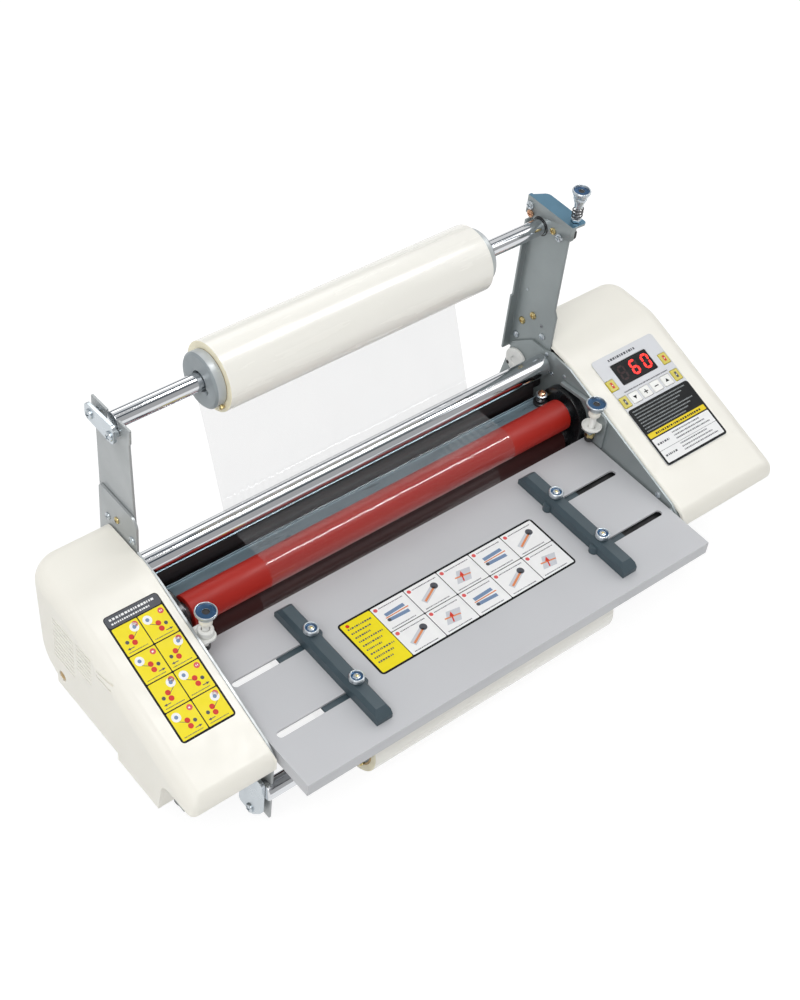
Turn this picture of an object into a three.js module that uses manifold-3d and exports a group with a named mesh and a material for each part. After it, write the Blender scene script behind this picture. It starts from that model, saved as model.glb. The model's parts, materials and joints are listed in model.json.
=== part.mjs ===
// Desktop roll laminator with an upper and a lower film roll.
// Working frame: X from the middle of the feed table, Y back from the table's front edge,
// Z up from the table's top. All sizes are in millimetres.
import * as THREE from 'three';
import { mergeVertices } from 'three/addons/utils/BufferGeometryUtils.js';
import Module from 'manifold-3d';

const wasm = await Module();
wasm.setup();

// ---------- Driving dimensions ----------
const GAP = 0.3; // clearance between pieces that touch
const SHEET = 2; // painted steel sheet
const SHELL = 3; // wall of the moulded covers

const TABLE_HALF_WIDTH = 200;
const TABLE_DEPTH = 145;
const TABLE_LIP = 12;
const TABLE_HEIGHT = 96; // table top above the surface that the feet stand on

const TABLE_SIDE_GAP = 1.6;
const FRAME_INNER = TABLE_HALF_WIDTH + TABLE_SIDE_GAP; // inner face of each side frame
const FRAME_OUTER = FRAME_INNER + SHEET;
const LEFT_COVER_WIDTH = 72;
const PANEL = { innerMargin: 17.6, width: 70.5, outerMargin: 23.9 }; // control panel across the right cover
const RIGHT_COVER_WIDTH = PANEL.innerMargin + PANEL.width + PANEL.outerMargin;
const LEFT_EDGE_RADIUS = 12;
const RIGHT_EDGE_RADIUS = 14;
const LEFT_PLAN_RADII = { front: 8, back: 25 }; // upright corners of the covers, seen from above
const RIGHT_PLAN_RADII = { front: 12, back: 18 };

const ROLLER = { y: 167, z: 14.6, radius: 13.4 }; // upper main roller; the lower one mirrors it
const NIP = 1; // running gap between two paired rollers
const PULL = { y: 212, radius: 12 };
const SHAFT_RADIUS = 7.5;
const SLEEVE_HALF_LENGTH = FRAME_INNER - 13.6;
const PIVOT_RADIUS = 4; // turned-down ends of idlers and pull rollers
const UPPER_IDLER = { y: 205.5, z: 36, radius: 9.5 };
const LOWER_IDLER = { y: 195, z: -52, radius: 9.5 };

const UPPER_SUPPLY = { y: 236.6, z: 160.4, shaft: 7, chuck: 22, roll: 27.5, left: -120, right: 126 };
const LOWER_SUPPLY = { y: 38, z: -46, shaft: 7.5, chuck: 17, roll: 27, left: -127, right: 115 };
const CORE_RADIUS = 20;
const FILM = 0.4;

const GUIDE = { x: 122.5, width: 14, front: 12, back: 136, height: 12 };
const SLOT = { width: 6, rows: [46.4, 100.7], outer: TABLE_HALF_WIDTH - 8, inner: 113 };
const GUIDE_PLATE_REACH = 28; // how far the plate under the table runs outwards from the pins
const KNOB_RADIUS = 6;

const RIGHT_UPRIGHT = { front: 205, back: 253, foot: 22, top: 178 };
const LEFT_UPRIGHT = { front: 209, back: 257.5, foot: 22, neck: 152, top: 167, lean: 7.5 };
const PRESSURE = { x: FRAME_INNER - 9.4, y: 135, top: 50.6, bottom: 9, radius: 8.6 };

const FOOT = { radius: 10, height: 8 };

// ---------- Values that follow from them ----------
const FLOOR = -TABLE_HEIGHT;
const PAN_BOTTOM = FLOOR + FOOT.height + GAP;
const PAN_TOP = PAN_BOTTOM + SHEET;
const COVER_INNER = FRAME_OUTER + GAP;
const LEFT_OUTER = -(COVER_INNER + LEFT_COVER_WIDTH);
const RIGHT_OUTER = COVER_INNER + RIGHT_COVER_WIDTH;
const PAN = { left: LEFT_OUTER + 28, right: RIGHT_OUTER - 28, front: 80, back: 228, wall: 50 };
const TENSION = {
  x: COVER_INNER + 5.1,
  y: 209,
  top: RIGHT_UPRIGHT.top + 32,
  bottom: RIGHT_UPRIGHT.top - 15,
  radius: 7.5,
  stem: 2.5,
};
const LOWER_ROLLER_Z = ROLLER.z - 2 * ROLLER.radius - NIP;
const NIP_Z = ROLLER.z - ROLLER.radius - NIP / 2;
const UPPER_PULL_Z = NIP_Z + PULL.radius + NIP / 2;
const LOWER_PULL_Z = NIP_Z - PULL.radius - NIP / 2;
const REAR_MOST = UPPER_SUPPLY.y + UPPER_SUPPLY.roll;

// ---------- Finishes ----------
const IVORY = { color: 0xf0eee4, roughness: 0.45, metalness: 0 };
const TABLE_GREY = { color: 0xc8c9ce, roughness: 0.5, metalness: 0.1 };
const FRAME_GREY = { color: 0x9a9fa4, roughness: 0.5, metalness: 0.3 };
const CHROME = { color: 0xd8dadd, roughness: 0.12, metalness: 1 };
const ZINC = { color: 0xb4bcc4, roughness: 0.35, metalness: 1 };
const STEEL = { color: 0x8d9196, roughness: 0.4, metalness: 1 };
const RED_SILICONE = { color: 0xaf2d26, roughness: 0.45, metalness: 0 };
const BLACK_RUBBER = { color: 0x1b1b1c, roughness: 0.85, metalness: 0 };
const BLACK_PLASTIC = { color: 0x232426, roughness: 0.5, metalness: 0 };
const SLATE_PLASTIC = { color: 0x3c5058, roughness: 0.5, metalness: 0 };
const CHUCK_GREY = { color: 0x8f979b, roughness: 0.45, metalness: 0.2 };
const WHITE_FILM = { color: 0xf4f4f1, roughness: 0.3, metalness: 0 };
const CLEAR_FILM = { color: 0xeef0f0, roughness: 0.15, metalness: 0, transparent: true, opacity: 0.5 };
const BOARD_GREEN = { color: 0x1f6b3c, roughness: 0.6, metalness: 0 };
const YELLOW = { color: 0xf2dc1e, roughness: 0.5, metalness: 0 };
const WHITE_PLASTIC = { color: 0xf2f2f2, roughness: 0.5, metalness: 0 };
const LABEL_GREY = { color: 0xd4d4dc, roughness: 0.5, metalness: 0 };

// ---------- Solids ----------
function solidOf(geometry) {
  geometry.deleteAttribute('normal');
  geometry.deleteAttribute('uv');
  const merged = mergeVertices(geometry);
  const triangles = [];
  for (let i = 0; i < merged.index.count; i += 3) {
    const corners = [0, 1, 2].map((k) => merged.index.getX(i + k));
    if (new Set(corners).size === 3) triangles.push(...corners);
  }
  const mesh = new wasm.Mesh({
    numProp: 3,
    vertProperties: new Float32Array(merged.attributes.position.array),
    triVerts: new Uint32Array(triangles),
  });
  return new wasm.Manifold(mesh);
}

function joined(first, ...others) {
  return others.reduce((sum, other) => sum.add(other), first);
}

function cut(body, ...tools) {
  return tools.reduce((rest, tool) => rest.subtract(tool), body);
}

function box(x0, x1, y0, y1, z0, z1) {
  const geometry = new THREE.BoxGeometry(x1 - x0, y1 - y0, z1 - z0);
  return solidOf(geometry.translate((x0 + x1) / 2, (y0 + y1) / 2, (z0 + z1) / 2));
}

// A closed outline through the points, with each corner rounded by its radius.
function outline(points, radii = 0) {
  const shape = new THREE.Shape();
  points.forEach((point, i) => {
    const radius = Array.isArray(radii) ? radii[i] : radii;
    const corner = new THREE.Vector2(...point);
    const before = new THREE.Vector2(...points.at(i - 1)).sub(corner).normalize();
    const after = new THREE.Vector2(...points[(i + 1) % points.length]).sub(corner).normalize();
    if (!radius) {
      if (i === 0) shape.moveTo(corner.x, corner.y);
      else shape.lineTo(corner.x, corner.y);
      return;
    }
    const half = Math.acos(before.dot(after)) / 2;
    const reach = radius / Math.tan(half);
    const start = before.clone().multiplyScalar(reach).add(corner);
    const end = after.clone().multiplyScalar(reach).add(corner);
    const centre = before.clone().add(after).normalize().multiplyScalar(radius / Math.sin(half)).add(corner);
    const from = Math.atan2(start.y - centre.y, start.x - centre.x);
    const to = Math.atan2(end.y - centre.y, end.x - centre.x);
    const clockwise = before.cross(after) > 0;
    if (i === 0) shape.moveTo(start.x, start.y);
    else shape.lineTo(start.x, start.y);
    shape.absarc(centre.x, centre.y, radius, from, to, clockwise);
  });
  shape.closePath();
  return shape;
}

// Each edge of an outline drawn anticlockwise moves inwards by the distance.
function inset(points, distance) {
  return points.map((point, i) => {
    const corner = new THREE.Vector2(...point);
    const before = corner.clone().sub(new THREE.Vector2(...points.at(i - 1))).normalize();
    const after = new THREE.Vector2(...points[(i + 1) % points.length]).sub(corner).normalize();
    const inward = new THREE.Vector2(-before.y - after.y, before.x + after.x);
    const scale = distance / (1 + before.dot(after));
    return [corner.x + inward.x * scale, corner.y + inward.y * scale];
  });
}

const SHAPE_TO_YZ = new THREE.Matrix4().makeBasis(
  new THREE.Vector3(0, 1, 0),
  new THREE.Vector3(0, 0, 1),
  new THREE.Vector3(1, 0, 0),
);
const ARC_STEPS = 4;
const SMALL_ARC_STEPS = 2;

// A prism along X of an outline drawn in the YZ plane.
function prismX(shape, x0, x1) {
  const geometry = new THREE.ExtrudeGeometry(shape, {
    depth: x1 - x0, bevelEnabled: false, curveSegments: ARC_STEPS,
  });
  return solidOf(geometry.applyMatrix4(SHAPE_TO_YZ).translate(x0, 0, 0));
}

// A prism along Z of an outline drawn in the XY plane.
function prismZ(shape, z0, z1) {
  const geometry = new THREE.ExtrudeGeometry(shape, {
    depth: z1 - z0, bevelEnabled: false, curveSegments: ARC_STEPS,
  });
  return solidOf(geometry.translate(0, 0, z0));
}

// A prism along X whose end edges are rounded by the edge radius.
function roundedPrismX(points, cornerRadii, x0, x1, edgeRadius) {
  const shape = outline(inset(points, edgeRadius), cornerRadii.map((r) => Math.max(r - edgeRadius, 0.4)));
  const geometry = new THREE.ExtrudeGeometry(shape, {
    depth: x1 - x0 - 2 * edgeRadius,
    bevelThickness: edgeRadius,
    bevelSize: edgeRadius,
    bevelSegments: 4,
    curveSegments: ARC_STEPS,
  });
  return solidOf(geometry.applyMatrix4(SHAPE_TO_YZ).translate(x0 + edgeRadius, 0, 0));
}

// A body turned about an axis along X; the profile lists [radius, x] from end to end.
function turnedX(profile, y, z, segments = 24) {
  const geometry = new THREE.LatheGeometry(profile.map(([r, x]) => new THREE.Vector2(r, x)), segments);
  return solidOf(geometry.rotateZ(-Math.PI / 2).translate(0, y, z));
}

// A body turned about an axis along Z; the profile lists [radius, z] from bottom to top.
function turnedZ(profile, x, y, segments = 20) {
  const geometry = new THREE.LatheGeometry(profile.map(([r, z]) => new THREE.Vector2(r, z)), segments);
  return solidOf(geometry.rotateX(Math.PI / 2).translate(x, y, 0));
}

function rodX(radius, x0, x1, y, z, segments = 24) {
  return turnedX([[0, x0], [radius, x0], [radius, x1], [0, x1]], y, z, segments);
}

function rodZ(radius, z0, z1, x, y, segments = 20) {
  return turnedZ([[0, z0], [radius, z0], [radius, z1], [0, z1]], x, y, segments);
}

const laminator = new THREE.Group();

function addPiece(name, body, finish, parent = laminator) {
  const { vertProperties, triVerts } = body.getMesh();
  const geometry = new THREE.BufferGeometry();
  geometry.setAttribute('position', new THREE.BufferAttribute(vertProperties, 3));
  geometry.setIndex(new THREE.BufferAttribute(triVerts, 1));
  const mesh = new THREE.Mesh(geometry, new THREE.MeshStandardMaterial(finish));
  mesh.name = name;
  parent.add(mesh);
}

// ---------- Side profile shared by covers and frames ----------
const SLOPE_START = -11; // height of the sloping top's line at Y = 0
const SLOPE = 0.344; // rise of the sloping top per millimetre back
const SLOPE_ANGLE = Math.atan(SLOPE);
const COVER_FRONT = 30;
const COVER_BACK = 247;
const COVER_TOP = 55;
const COVER_LEAN = 12; // the rear wall leans back by this much over its height
const COVER_SKIRT = -110; // the profile runs below the rim, which then trims it
const slopeZ = (y) => SLOPE_START + SLOPE * y;
const BEND_Y = (COVER_TOP - SLOPE_START) / SLOPE;

const COVER_PROFILE = [
  [COVER_FRONT, COVER_SKIRT],
  [COVER_BACK - COVER_LEAN, COVER_SKIRT],
  [COVER_BACK, COVER_TOP],
  [BEND_Y, COVER_TOP],
  [COVER_FRONT, slopeZ(COVER_FRONT)],
];
const COVER_CORNERS = [0, 0, 10, 60, 12];
const RIM = { nose: -16, legBottom: -47.5, step: -40, back: -15, archFront: 54, archBack: 68, legBack: 123 };

// Everything below the covers' lower rim, with the scooped arch behind the nose.
function belowRim(x0, x1) {
  const shape = new THREE.Shape();
  const archRadius = (RIM.archBack - RIM.archFront) / 2;
  shape.moveTo(COVER_FRONT - 10, RIM.nose);
  shape.lineTo(COVER_FRONT - 10, COVER_SKIRT - 10);
  shape.lineTo(COVER_BACK + 10, COVER_SKIRT - 10);
  shape.lineTo(COVER_BACK + 10, RIM.back);
  shape.lineTo(224, RIM.back);
  shape.lineTo(213.5, RIM.back - 11);
  shape.lineTo(203, RIM.step + 8);
  shape.lineTo(RIM.legBack, RIM.step);
  shape.lineTo(RIM.legBack, RIM.legBottom);
  shape.lineTo(RIM.archBack + 4, RIM.legBottom);
  shape.lineTo(RIM.archBack, RIM.nose);
  shape.absarc(RIM.archFront + archRadius, RIM.nose, archRadius, 0, Math.PI, false);
  shape.closePath();
  return prismX(shape, x0, x1);
}

// One cover: a shell that is open below and towards its side frame.
function coverShell(outerX, edgeRadius, planRadii) {
  const sign = Math.sign(outerX);
  const span = (a, b) => (sign > 0 ? [a, b] : [-b, -a]);
  const outer = Math.abs(outerX);
  const beyond = COVER_INNER - 2 * edgeRadius - SHELL;
  const skin = roundedPrismX(COVER_PROFILE, COVER_CORNERS, ...span(beyond, outer), edgeRadius);
  const hollowProfile = inset(COVER_PROFILE, SHELL).map(([y, z]) => [y, z < COVER_SKIRT + 20 ? z - 20 : z]);
  const hollowRadii = COVER_CORNERS.map((r) => Math.max(r - SHELL, 0));
  const hollow = roundedPrismX(
    hollowProfile, hollowRadii, ...span(beyond - SHELL, outer - SHELL), edgeRadius - SHELL,
  );
  const plan = coverPlan(sign, outer, planRadii, 0);
  const hollowPlan = coverPlan(sign, outer, planRadii, SHELL);
  const inside = box(...span(0, COVER_INNER), -50, 350, -200, 200);
  return cut(skin.intersect(plan), hollow.intersect(hollowPlan), inside, belowRim(...span(0, outer + 10)));
}

// The cover's outline seen from above, moved inwards by the wall: it rounds the two upright outer corners.
function coverPlan(sign, outer, radii, wall) {
  const [front, back, side] = [COVER_FRONT + wall, COVER_BACK - wall, sign * (outer - wall)];
  const corners = [[0, front], [side, front], [side, back], [0, back]];
  const rounded = [0, radii.front - wall, radii.back - wall, 0];
  return prismZ(outline(corners, rounded), 2 * COVER_SKIRT, 2 * COVER_TOP);
}

// Louvres through the left cover's outer wall: [front, back, bottom, top] of each group.
const LOUVRE_GROUPS = [[178, 205, -10, 34], [155, 174, 5, 37], [130, 148, 24, 33]];
const LOUVRE = { pitch: 5.5, height: 2.2 };

function louvres() {
  const slits = [];
  for (const [front, back, bottom, top] of LOUVRE_GROUPS) {
    for (let z = bottom; z + LOUVRE.height <= top; z += LOUVRE.pitch) {
      slits.push(box(LEFT_OUTER - 1, LEFT_OUTER + SHELL + 1, front, back, z, z + LOUVRE.height));
    }
  }
  return slits;
}

// ---------- Control panel on the right cover's slope ----------
// A prism whose outline lies on the slope: X across, and the distance up the slope from Y = 0.
function prismSlope(shape, low, high) {
  const geometry = new THREE.ExtrudeGeometry(shape, {
    depth: high - low, bevelEnabled: false, curveSegments: SMALL_ARC_STEPS,
  });
  return solidOf(geometry.translate(0, 0, low).rotateX(SLOPE_ANGLE).translate(0, 0, SLOPE_START));
}

const alongSlope = (y) => y / Math.cos(SLOPE_ANGLE);
const rectangle = (x0, x1, y0, y1) => [[x0, y0], [x1, y0], [x1, y1], [x0, y1]];
const grown = ([x0, x1, y0, y1], by) => [x0 - by, x1 + by, y0 - by, y1 + by];

const PANEL_LEFT = COVER_INNER + PANEL.innerMargin;
const OVERLAY = {
  area: [PANEL_LEFT, PANEL_LEFT + PANEL.width, alongSlope(71.5), alongSlope(174)],
  low: GAP,
  high: GAP + 0.6,
};
const DISPLAY = { width: 40.5, left: PANEL_LEFT + PANEL.width / 2 - 21.25 };
const DISPLAY_AREA = [DISPLAY.left, DISPLAY.left + DISPLAY.width, alongSlope(145.5), alongSlope(164.5)];
const BOARD = {
  area: [PANEL_LEFT - 8, PANEL_LEFT + PANEL.width + 7.5, alongSlope(118), alongSlope(172)],
  top: -6.4,
  thickness: 1.6,
};
const KEY = { low: -5, high: OVERLAY.high + 0.4, travel: 0.5 };
const YELLOW_KEY = { width: 8.4, length: 10.5 };
const WHITE_KEY = { width: 10.2, length: 10 };

const KEY_PITCH = 0.176 * PANEL.width;
const whiteKeyAt = (index) => PANEL.width / 2 - 0.6 + (index - 1.5) * KEY_PITCH;

// Every key: its node, its middle across from the panel's left edge, its Y on the slope and its kind.
const KEYS = [
  ['key_upper_left', 4.1, 149.6, YELLOW_KEY, YELLOW],
  ['key_lower_left', 4.6, 132.8, YELLOW_KEY, YELLOW],
  ['key_upper_right', PANEL.width - 5.1, 149.8, YELLOW_KEY, YELLOW],
  ['key_lower_right', PANEL.width - 5.5, 133.2, YELLOW_KEY, YELLOW],
  ['key_speed_down', whiteKeyAt(0), 132.8, WHITE_KEY, WHITE_PLASTIC],
  ['key_plus', whiteKeyAt(1), 132.8, WHITE_KEY, WHITE_PLASTIC],
  ['key_minus', whiteKeyAt(2), 132.8, WHITE_KEY, WHITE_PLASTIC],
  ['key_speed_up', whiteKeyAt(3), 132.8, WHITE_KEY, WHITE_PLASTIC],
];

function keyArea([, across, y, { width, length }]) {
  const x = PANEL_LEFT + across;
  const s = alongSlope(y);
  return [x - width / 2, x + width / 2, s - length / 2, s + length / 2];
}

function keyBody(key) {
  return prismSlope(outline(rectangle(...keyArea(key)), 1), KEY.low, KEY.high);
}

// Openings for the keys and the display, with running clearance.
function panelOpenings() {
  const areas = [...KEYS.map(keyArea), DISPLAY_AREA];
  return areas.map((area) => prismSlope(outline(rectangle(...grown(area, GAP)), 1), -20, 5));
}

function controlOverlay() {
  const sheet = prismSlope(outline(rectangle(...OVERLAY.area), 3), OVERLAY.low, OVERLAY.high);
  return cut(sheet, ...panelOpenings());
}

// The digit display, soldered to the control board below it.
function displayBoard() {
  return joined(
    prismSlope(outline(rectangle(...DISPLAY_AREA), 1), BOARD.top - 0.5, OVERLAY.high),
    prismSlope(outline(rectangle(...BOARD.area), 2), BOARD.top - BOARD.thickness, BOARD.top),
  );
}

// Posts under the cover's top that carry the board at its four corners.
function boardPosts() {
  const [x0, x1, s0, s1] = grown(BOARD.area, -4);
  return rectangle(x0, x1, s0, s1).map(([x, s]) =>
    prismSlope(outline(rectangle(x - 3, x + 3, s - 3, s + 3), 2), BOARD.top + GAP, -SHELL + 0.5));
}

// ---------- Power inlet and switch in the right cover's rear wall ----------
const INLET = {
  left: COVER_INNER + 32,
  width: 54,
  bottom: 0,
  height: 20,
  front: COVER_BACK - 25,
  back: COVER_BACK,
};
const SOCKET = { offset: 3, width: 22.6, inset: 2.6, depth: 17 };
const WELL = { offset: 32, width: 18.6, inset: 2, depth: 14 };
const ROCKER_PIVOT = { x: INLET.left + WELL.offset + WELL.width / 2, y: INLET.back - 5.5 };

function powerInlet() {
  const { left, width, bottom, height, front, back } = INLET;
  const pocket = ({ offset, width: across, inset: margin, depth }) => {
    const x0 = left + offset;
    return box(x0, x0 + across, back - depth, back + 1, bottom + margin, bottom + height - margin);
  };
  return cut(box(left, left + width, front, back, bottom, bottom + height), pocket(SOCKET), pocket(WELL));
}

function inletOpening() {
  const { left, width, bottom, height, back } = INLET;
  return box(left - GAP, left + width + GAP, back - 20, back + 5, bottom - GAP, bottom + height + GAP);
}

function rocker() {
  const { x, y } = ROCKER_PIVOT;
  const points = [[-7.5, -4], [7.5, -4], [8, 3], [0, 1.5], [-8, 4.5]].map(([dx, dy]) => [x + dx, y + dy]);
  const margin = WELL.inset + GAP;
  return prismZ(outline(points), INLET.bottom + margin, INLET.bottom + INLET.height - margin);
}

function rightCover() {
  const uprightNotch = box(
    COVER_INNER - 1, COVER_INNER + SHEET + GAP,
    RIGHT_UPRIGHT.front - GAP, RIGHT_UPRIGHT.back + GAP, RIGHT_UPRIGHT.foot - GAP, 2 * COVER_TOP,
  );
  const shell = joined(coverShell(RIGHT_OUTER, RIGHT_EDGE_RADIUS, RIGHT_PLAN_RADII), ...boardPosts());
  return cut(shell, ...panelOpenings(), inletOpening(), uprightNotch);
}

// ---------- Side frames, uprights and other fixed sheet metal ----------
const FRAME_TOP_RELIEF = 1; // the frame's top edge lies this far under the cover's
const FRAME_BACK = 255;
const FRONT_EAR = { front: 36, back: 67, bottom: -80, top: -4 }; // carries the lower supply shaft
const LEFT_EAR = { front: 205.6, top: 85.5, radius: 9 }; // carries the left upright

// The frame's [y, z] corners, each with the radius that rounds it.
function frameOutline(side) {
  const bottom = PAN_TOP + GAP;
  const { front, back, bottom: earBottom, top: earTop } = FRONT_EAR;
  const leftEar = [
    [FRAME_BACK, -15, 0],
    [FRAME_BACK, LEFT_EAR.top, LEFT_EAR.radius / 2],
    [LEFT_EAR.front, LEFT_EAR.top, LEFT_EAR.radius],
    [LEFT_EAR.front, COVER_TOP - FRAME_TOP_RELIEF, 0],
  ];
  const rightEar = [[FRAME_BACK, -15, 0], [246, 31, 0], [224.6, 48, 0], [209.5, 48, 0]];
  const corners = [
    [front, earBottom, 0],
    [back, earBottom, 0],
    [back, bottom, 0],
    [COVER_BACK - 8, bottom, 0],
    ...(side < 0 ? leftEar : rightEar),
    [200, side < 0 ? 52.5 : 51, 0],
    [BEND_Y - 14, slopeZ(BEND_Y - 14) - FRAME_TOP_RELIEF, 0],
    [45, slopeZ(45) - FRAME_TOP_RELIEF, 0],
    [front, earTop, 0],
  ];
  return outline(corners.map(([y, z]) => [y, z]), corners.map(([, , radius]) => radius));
}

// The lower supply shaft lies in a slot that is open to the front.
function supplySlot(x0, x1) {
  const radius = LOWER_SUPPLY.shaft + GAP;
  return joined(
    rodX(radius, x0, x1, LOWER_SUPPLY.y, LOWER_SUPPLY.z),
    box(x0, x1, FRONT_EAR.front - 5, LOWER_SUPPLY.y, LOWER_SUPPLY.z - radius, LOWER_SUPPLY.z + radius),
  );
}

function sideFrame(side) {
  const x0 = side < 0 ? -FRAME_OUTER : FRAME_INNER;
  const x1 = x0 + SHEET;
  const bore = (radius, y, z) => rodX(radius + GAP, x0 - 1, x1 + 1, y, z, 24);
  return cut(
    prismX(frameOutline(side), x0, x1),
    bore(SHAFT_RADIUS, ROLLER.y, ROLLER.z),
    bore(SHAFT_RADIUS, ROLLER.y, LOWER_ROLLER_Z),
    bore(PIVOT_RADIUS, PULL.y, UPPER_PULL_Z),
    bore(PIVOT_RADIUS, PULL.y, LOWER_PULL_Z),
    bore(PIVOT_RADIUS, UPPER_IDLER.y, UPPER_IDLER.z),
    bore(PIVOT_RADIUS, LOWER_IDLER.y, LOWER_IDLER.z),
    supplySlot(x0 - 1, x1 + 1),
  );
}

const FLANGE = 7.5; // width of the right upright's folded rear flange
const GUSSET = { width: 9.5, top: 80 }; // the flange is wider below this height
const UPPER_BORE = UPPER_SUPPLY.shaft + GAP;

function rightUpright() {
  const x0 = COVER_INNER;
  const x1 = x0 + SHEET;
  const { front, back, foot: low, top } = RIGHT_UPRIGHT;
  const web = outline([
    [front, low], [back, low], [back, top], [front + 3, top], [front + 3, 90], [front, 84],
  ]);
  return cut(
    joined(
      prismX(web, x0, x1),
      box(x1 - FLANGE, x1, back - SHEET, back, low, CLAMP.bottom - GAP),
      box(x1 - GUSSET.width, x1, back - SHEET, back, low, GUSSET.top),
    ),
    rodX(UPPER_BORE, x0 - 1, x1 + 1, UPPER_SUPPLY.y, UPPER_SUPPLY.z),
  );
}

// The left upright leans back; its head has an open saddle, so the supply shaft lifts out.
function leftUpright() {
  const x1 = -FRAME_INNER + SHEET + GAP;
  const x0 = x1 - SHEET;
  const { front, back, foot: low, neck, top, lean } = LEFT_UPRIGHT;
  const aboveIdler = UPPER_IDLER.z + UPPER_IDLER.radius + 1.5;
  const behindIdler = UPPER_IDLER.y + UPPER_IDLER.radius + 1.5;
  const frontAt = (z) => front + lean * (z - aboveIdler) / (neck - aboveIdler);
  const web = outline([
    [behindIdler, low],
    [FRAME_BACK, low],
    [back, LEFT_EAR.top],
    [back + 1.5, neck - 12],
    [UPRIGHT_HEAD_BACK, neck - 6],
    [UPRIGHT_HEAD_BACK, top - 3],
    [frontAt(neck) - 1.2, top],
    [frontAt(neck) - 1.2, neck + 2],
    [frontAt(neck), neck],
    [frontAt(aboveIdler), aboveIdler],
    [behindIdler, aboveIdler],
  ]);
  const { y, z } = UPPER_SUPPLY;
  return cut(
    prismX(web, x0, x1),
    rodX(UPPER_BORE, x0 - 1, x1 + 1, y, z),
    box(x0 - 1, x1 + 1, y - UPPER_BORE, y + UPPER_BORE, z, top + 1),
  );
}

const UPRIGHT_HEAD_BACK = UPPER_SUPPLY.y + 27;

const CLAMP = {
  thickness: 3.5,
  front: 203,
  back: 255,
  flangeOut: COVER_INNER + 11,
  bottom: 158,
  top: RIGHT_UPRIGHT.top + GAP + SHEET,
};

// Clamp bracket on the right head: a plate with a top flange that carries the tension knob.
function clampBracket() {
  const x1 = COVER_INNER - GAP;
  const x0 = x1 - CLAMP.thickness;
  const { y, z } = UPPER_SUPPLY;
  const plate = prismX(
    outline(rectangle(CLAMP.front, CLAMP.back, CLAMP.bottom, CLAMP.top)),
    x0, x1,
  );
  const flange = prismZ(
    outline(
      [
        [x0, CLAMP.front], [CLAMP.flangeOut, CLAMP.front - 1],
        [CLAMP.flangeOut, CLAMP.back - 8], [x0, CLAMP.back],
      ],
      [0, 3, 6, 0],
    ),
    CLAMP.top - SHEET, CLAMP.top,
  );
  return cut(
    joined(plate, flange),
    rodX(UPPER_BORE, x0 - 1, x1 + 1, y, z),
    rodZ(TENSION.stem + GAP, CLAMP.top - 10, CLAMP.top + 10, TENSION.x, TENSION.y),
  );
}

const KEEPER = { thickness: 3, gap: 3.6 };

// A keeper plate holds a supply shaft in its open slot; two spacers carry it off the sheet.
function keeper(sheetFace, points, spacers) {
  const inner = sheetFace - GAP - KEEPER.gap;
  const plate = prismX(outline(points, 4), inner - KEEPER.thickness, inner);
  const bosses = spacers.map(([y, z]) => rodX(3, inner - 0.5, sheetFace - GAP, y, z, 16));
  const heads = spacers.map(([y, z]) =>
    rodX(4, inner - KEEPER.thickness - 3.4, inner - KEEPER.thickness + 0.5, y, z, 18));
  return joined(plate, ...bosses, ...heads);
}

function slottedTable() {
  const sheet = box(-TABLE_HALF_WIDTH, TABLE_HALF_WIDTH, 0, TABLE_DEPTH, -SHEET, 0);
  const lip = box(-TABLE_HALF_WIDTH, TABLE_HALF_WIDTH, 0, SHEET, -TABLE_LIP, 0);
  const body = [sheet, lip];
  const slots = [];
  for (const side of [-1, 1]) {
    const edge = side * TABLE_HALF_WIDTH;
    const wall = side * (TABLE_HALF_WIDTH - SHEET);
    body.push(box(Math.min(edge, wall), Math.max(edge, wall), 0, TABLE_DEPTH, -TABLE_LIP, 0));
    for (const y of TABLE_SCREWS) {
      const reach = side * (FRAME_INNER - GAP);
      body.push(rodX(2.5, Math.min(wall, reach), Math.max(wall, reach), y, -TABLE_LIP / 2, 16));
    }
    for (const y of SLOT.rows) slots.push(tableSlot(side, y));
  }
  return cut(joined(...body), ...slots);
}

const TABLE_SCREWS = [60, 128];

function tableSlot(side, y) {
  const r = SLOT.width / 2;
  const x0 = side < 0 ? -SLOT.outer : SLOT.inner;
  const x1 = side < 0 ? -SLOT.inner : SLOT.outer;
  const shape = outline([[x0, y - r], [x1, y - r], [x1, y + r], [x0, y + r]], r - 0.01);
  return prismZ(shape, -SHEET - 1, 1);
}

// U-shaped tray: open at the front between the covers, with upright side and rear walls.
function basePan() {
  const notch = FRAME_INNER - 12;
  const beamFront = 168;
  const floorPlan = outline([
    [PAN.left, PAN.front], [-notch, PAN.front], [-notch, beamFront], [notch, beamFront],
    [notch, PAN.front], [PAN.right, PAN.front], [PAN.right, PAN.back], [PAN.left, PAN.back],
  ]);
  const wallTop = PAN_BOTTOM + PAN.wall;
  return joined(
    prismZ(floorPlan, PAN_BOTTOM, PAN_TOP),
    box(PAN.left, PAN.left + SHEET, PAN.front, PAN.back, PAN_BOTTOM, wallTop),
    box(PAN.right - SHEET, PAN.right, PAN.front, PAN.back, PAN_BOTTOM, wallTop),
  );
}

const REAR = { y: 250, lip: 17, top: -9 };

// Rear cover between the frames, with a lip under the laminate's way out.
function rearCover() {
  const shape = outline([
    [REAR.y, PAN_TOP + GAP],
    [REAR.y + SHEET, PAN_TOP + GAP],
    [REAR.y + SHEET, REAR.top],
    [REAR.y - REAR.lip, REAR.top + 2],
    [REAR.y - REAR.lip, REAR.top + 2 - SHEET],
    [REAR.y, REAR.top - SHEET],
  ]);
  const end = FRAME_INNER - GAP;
  return prismX(shape, -end, end);
}

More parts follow.
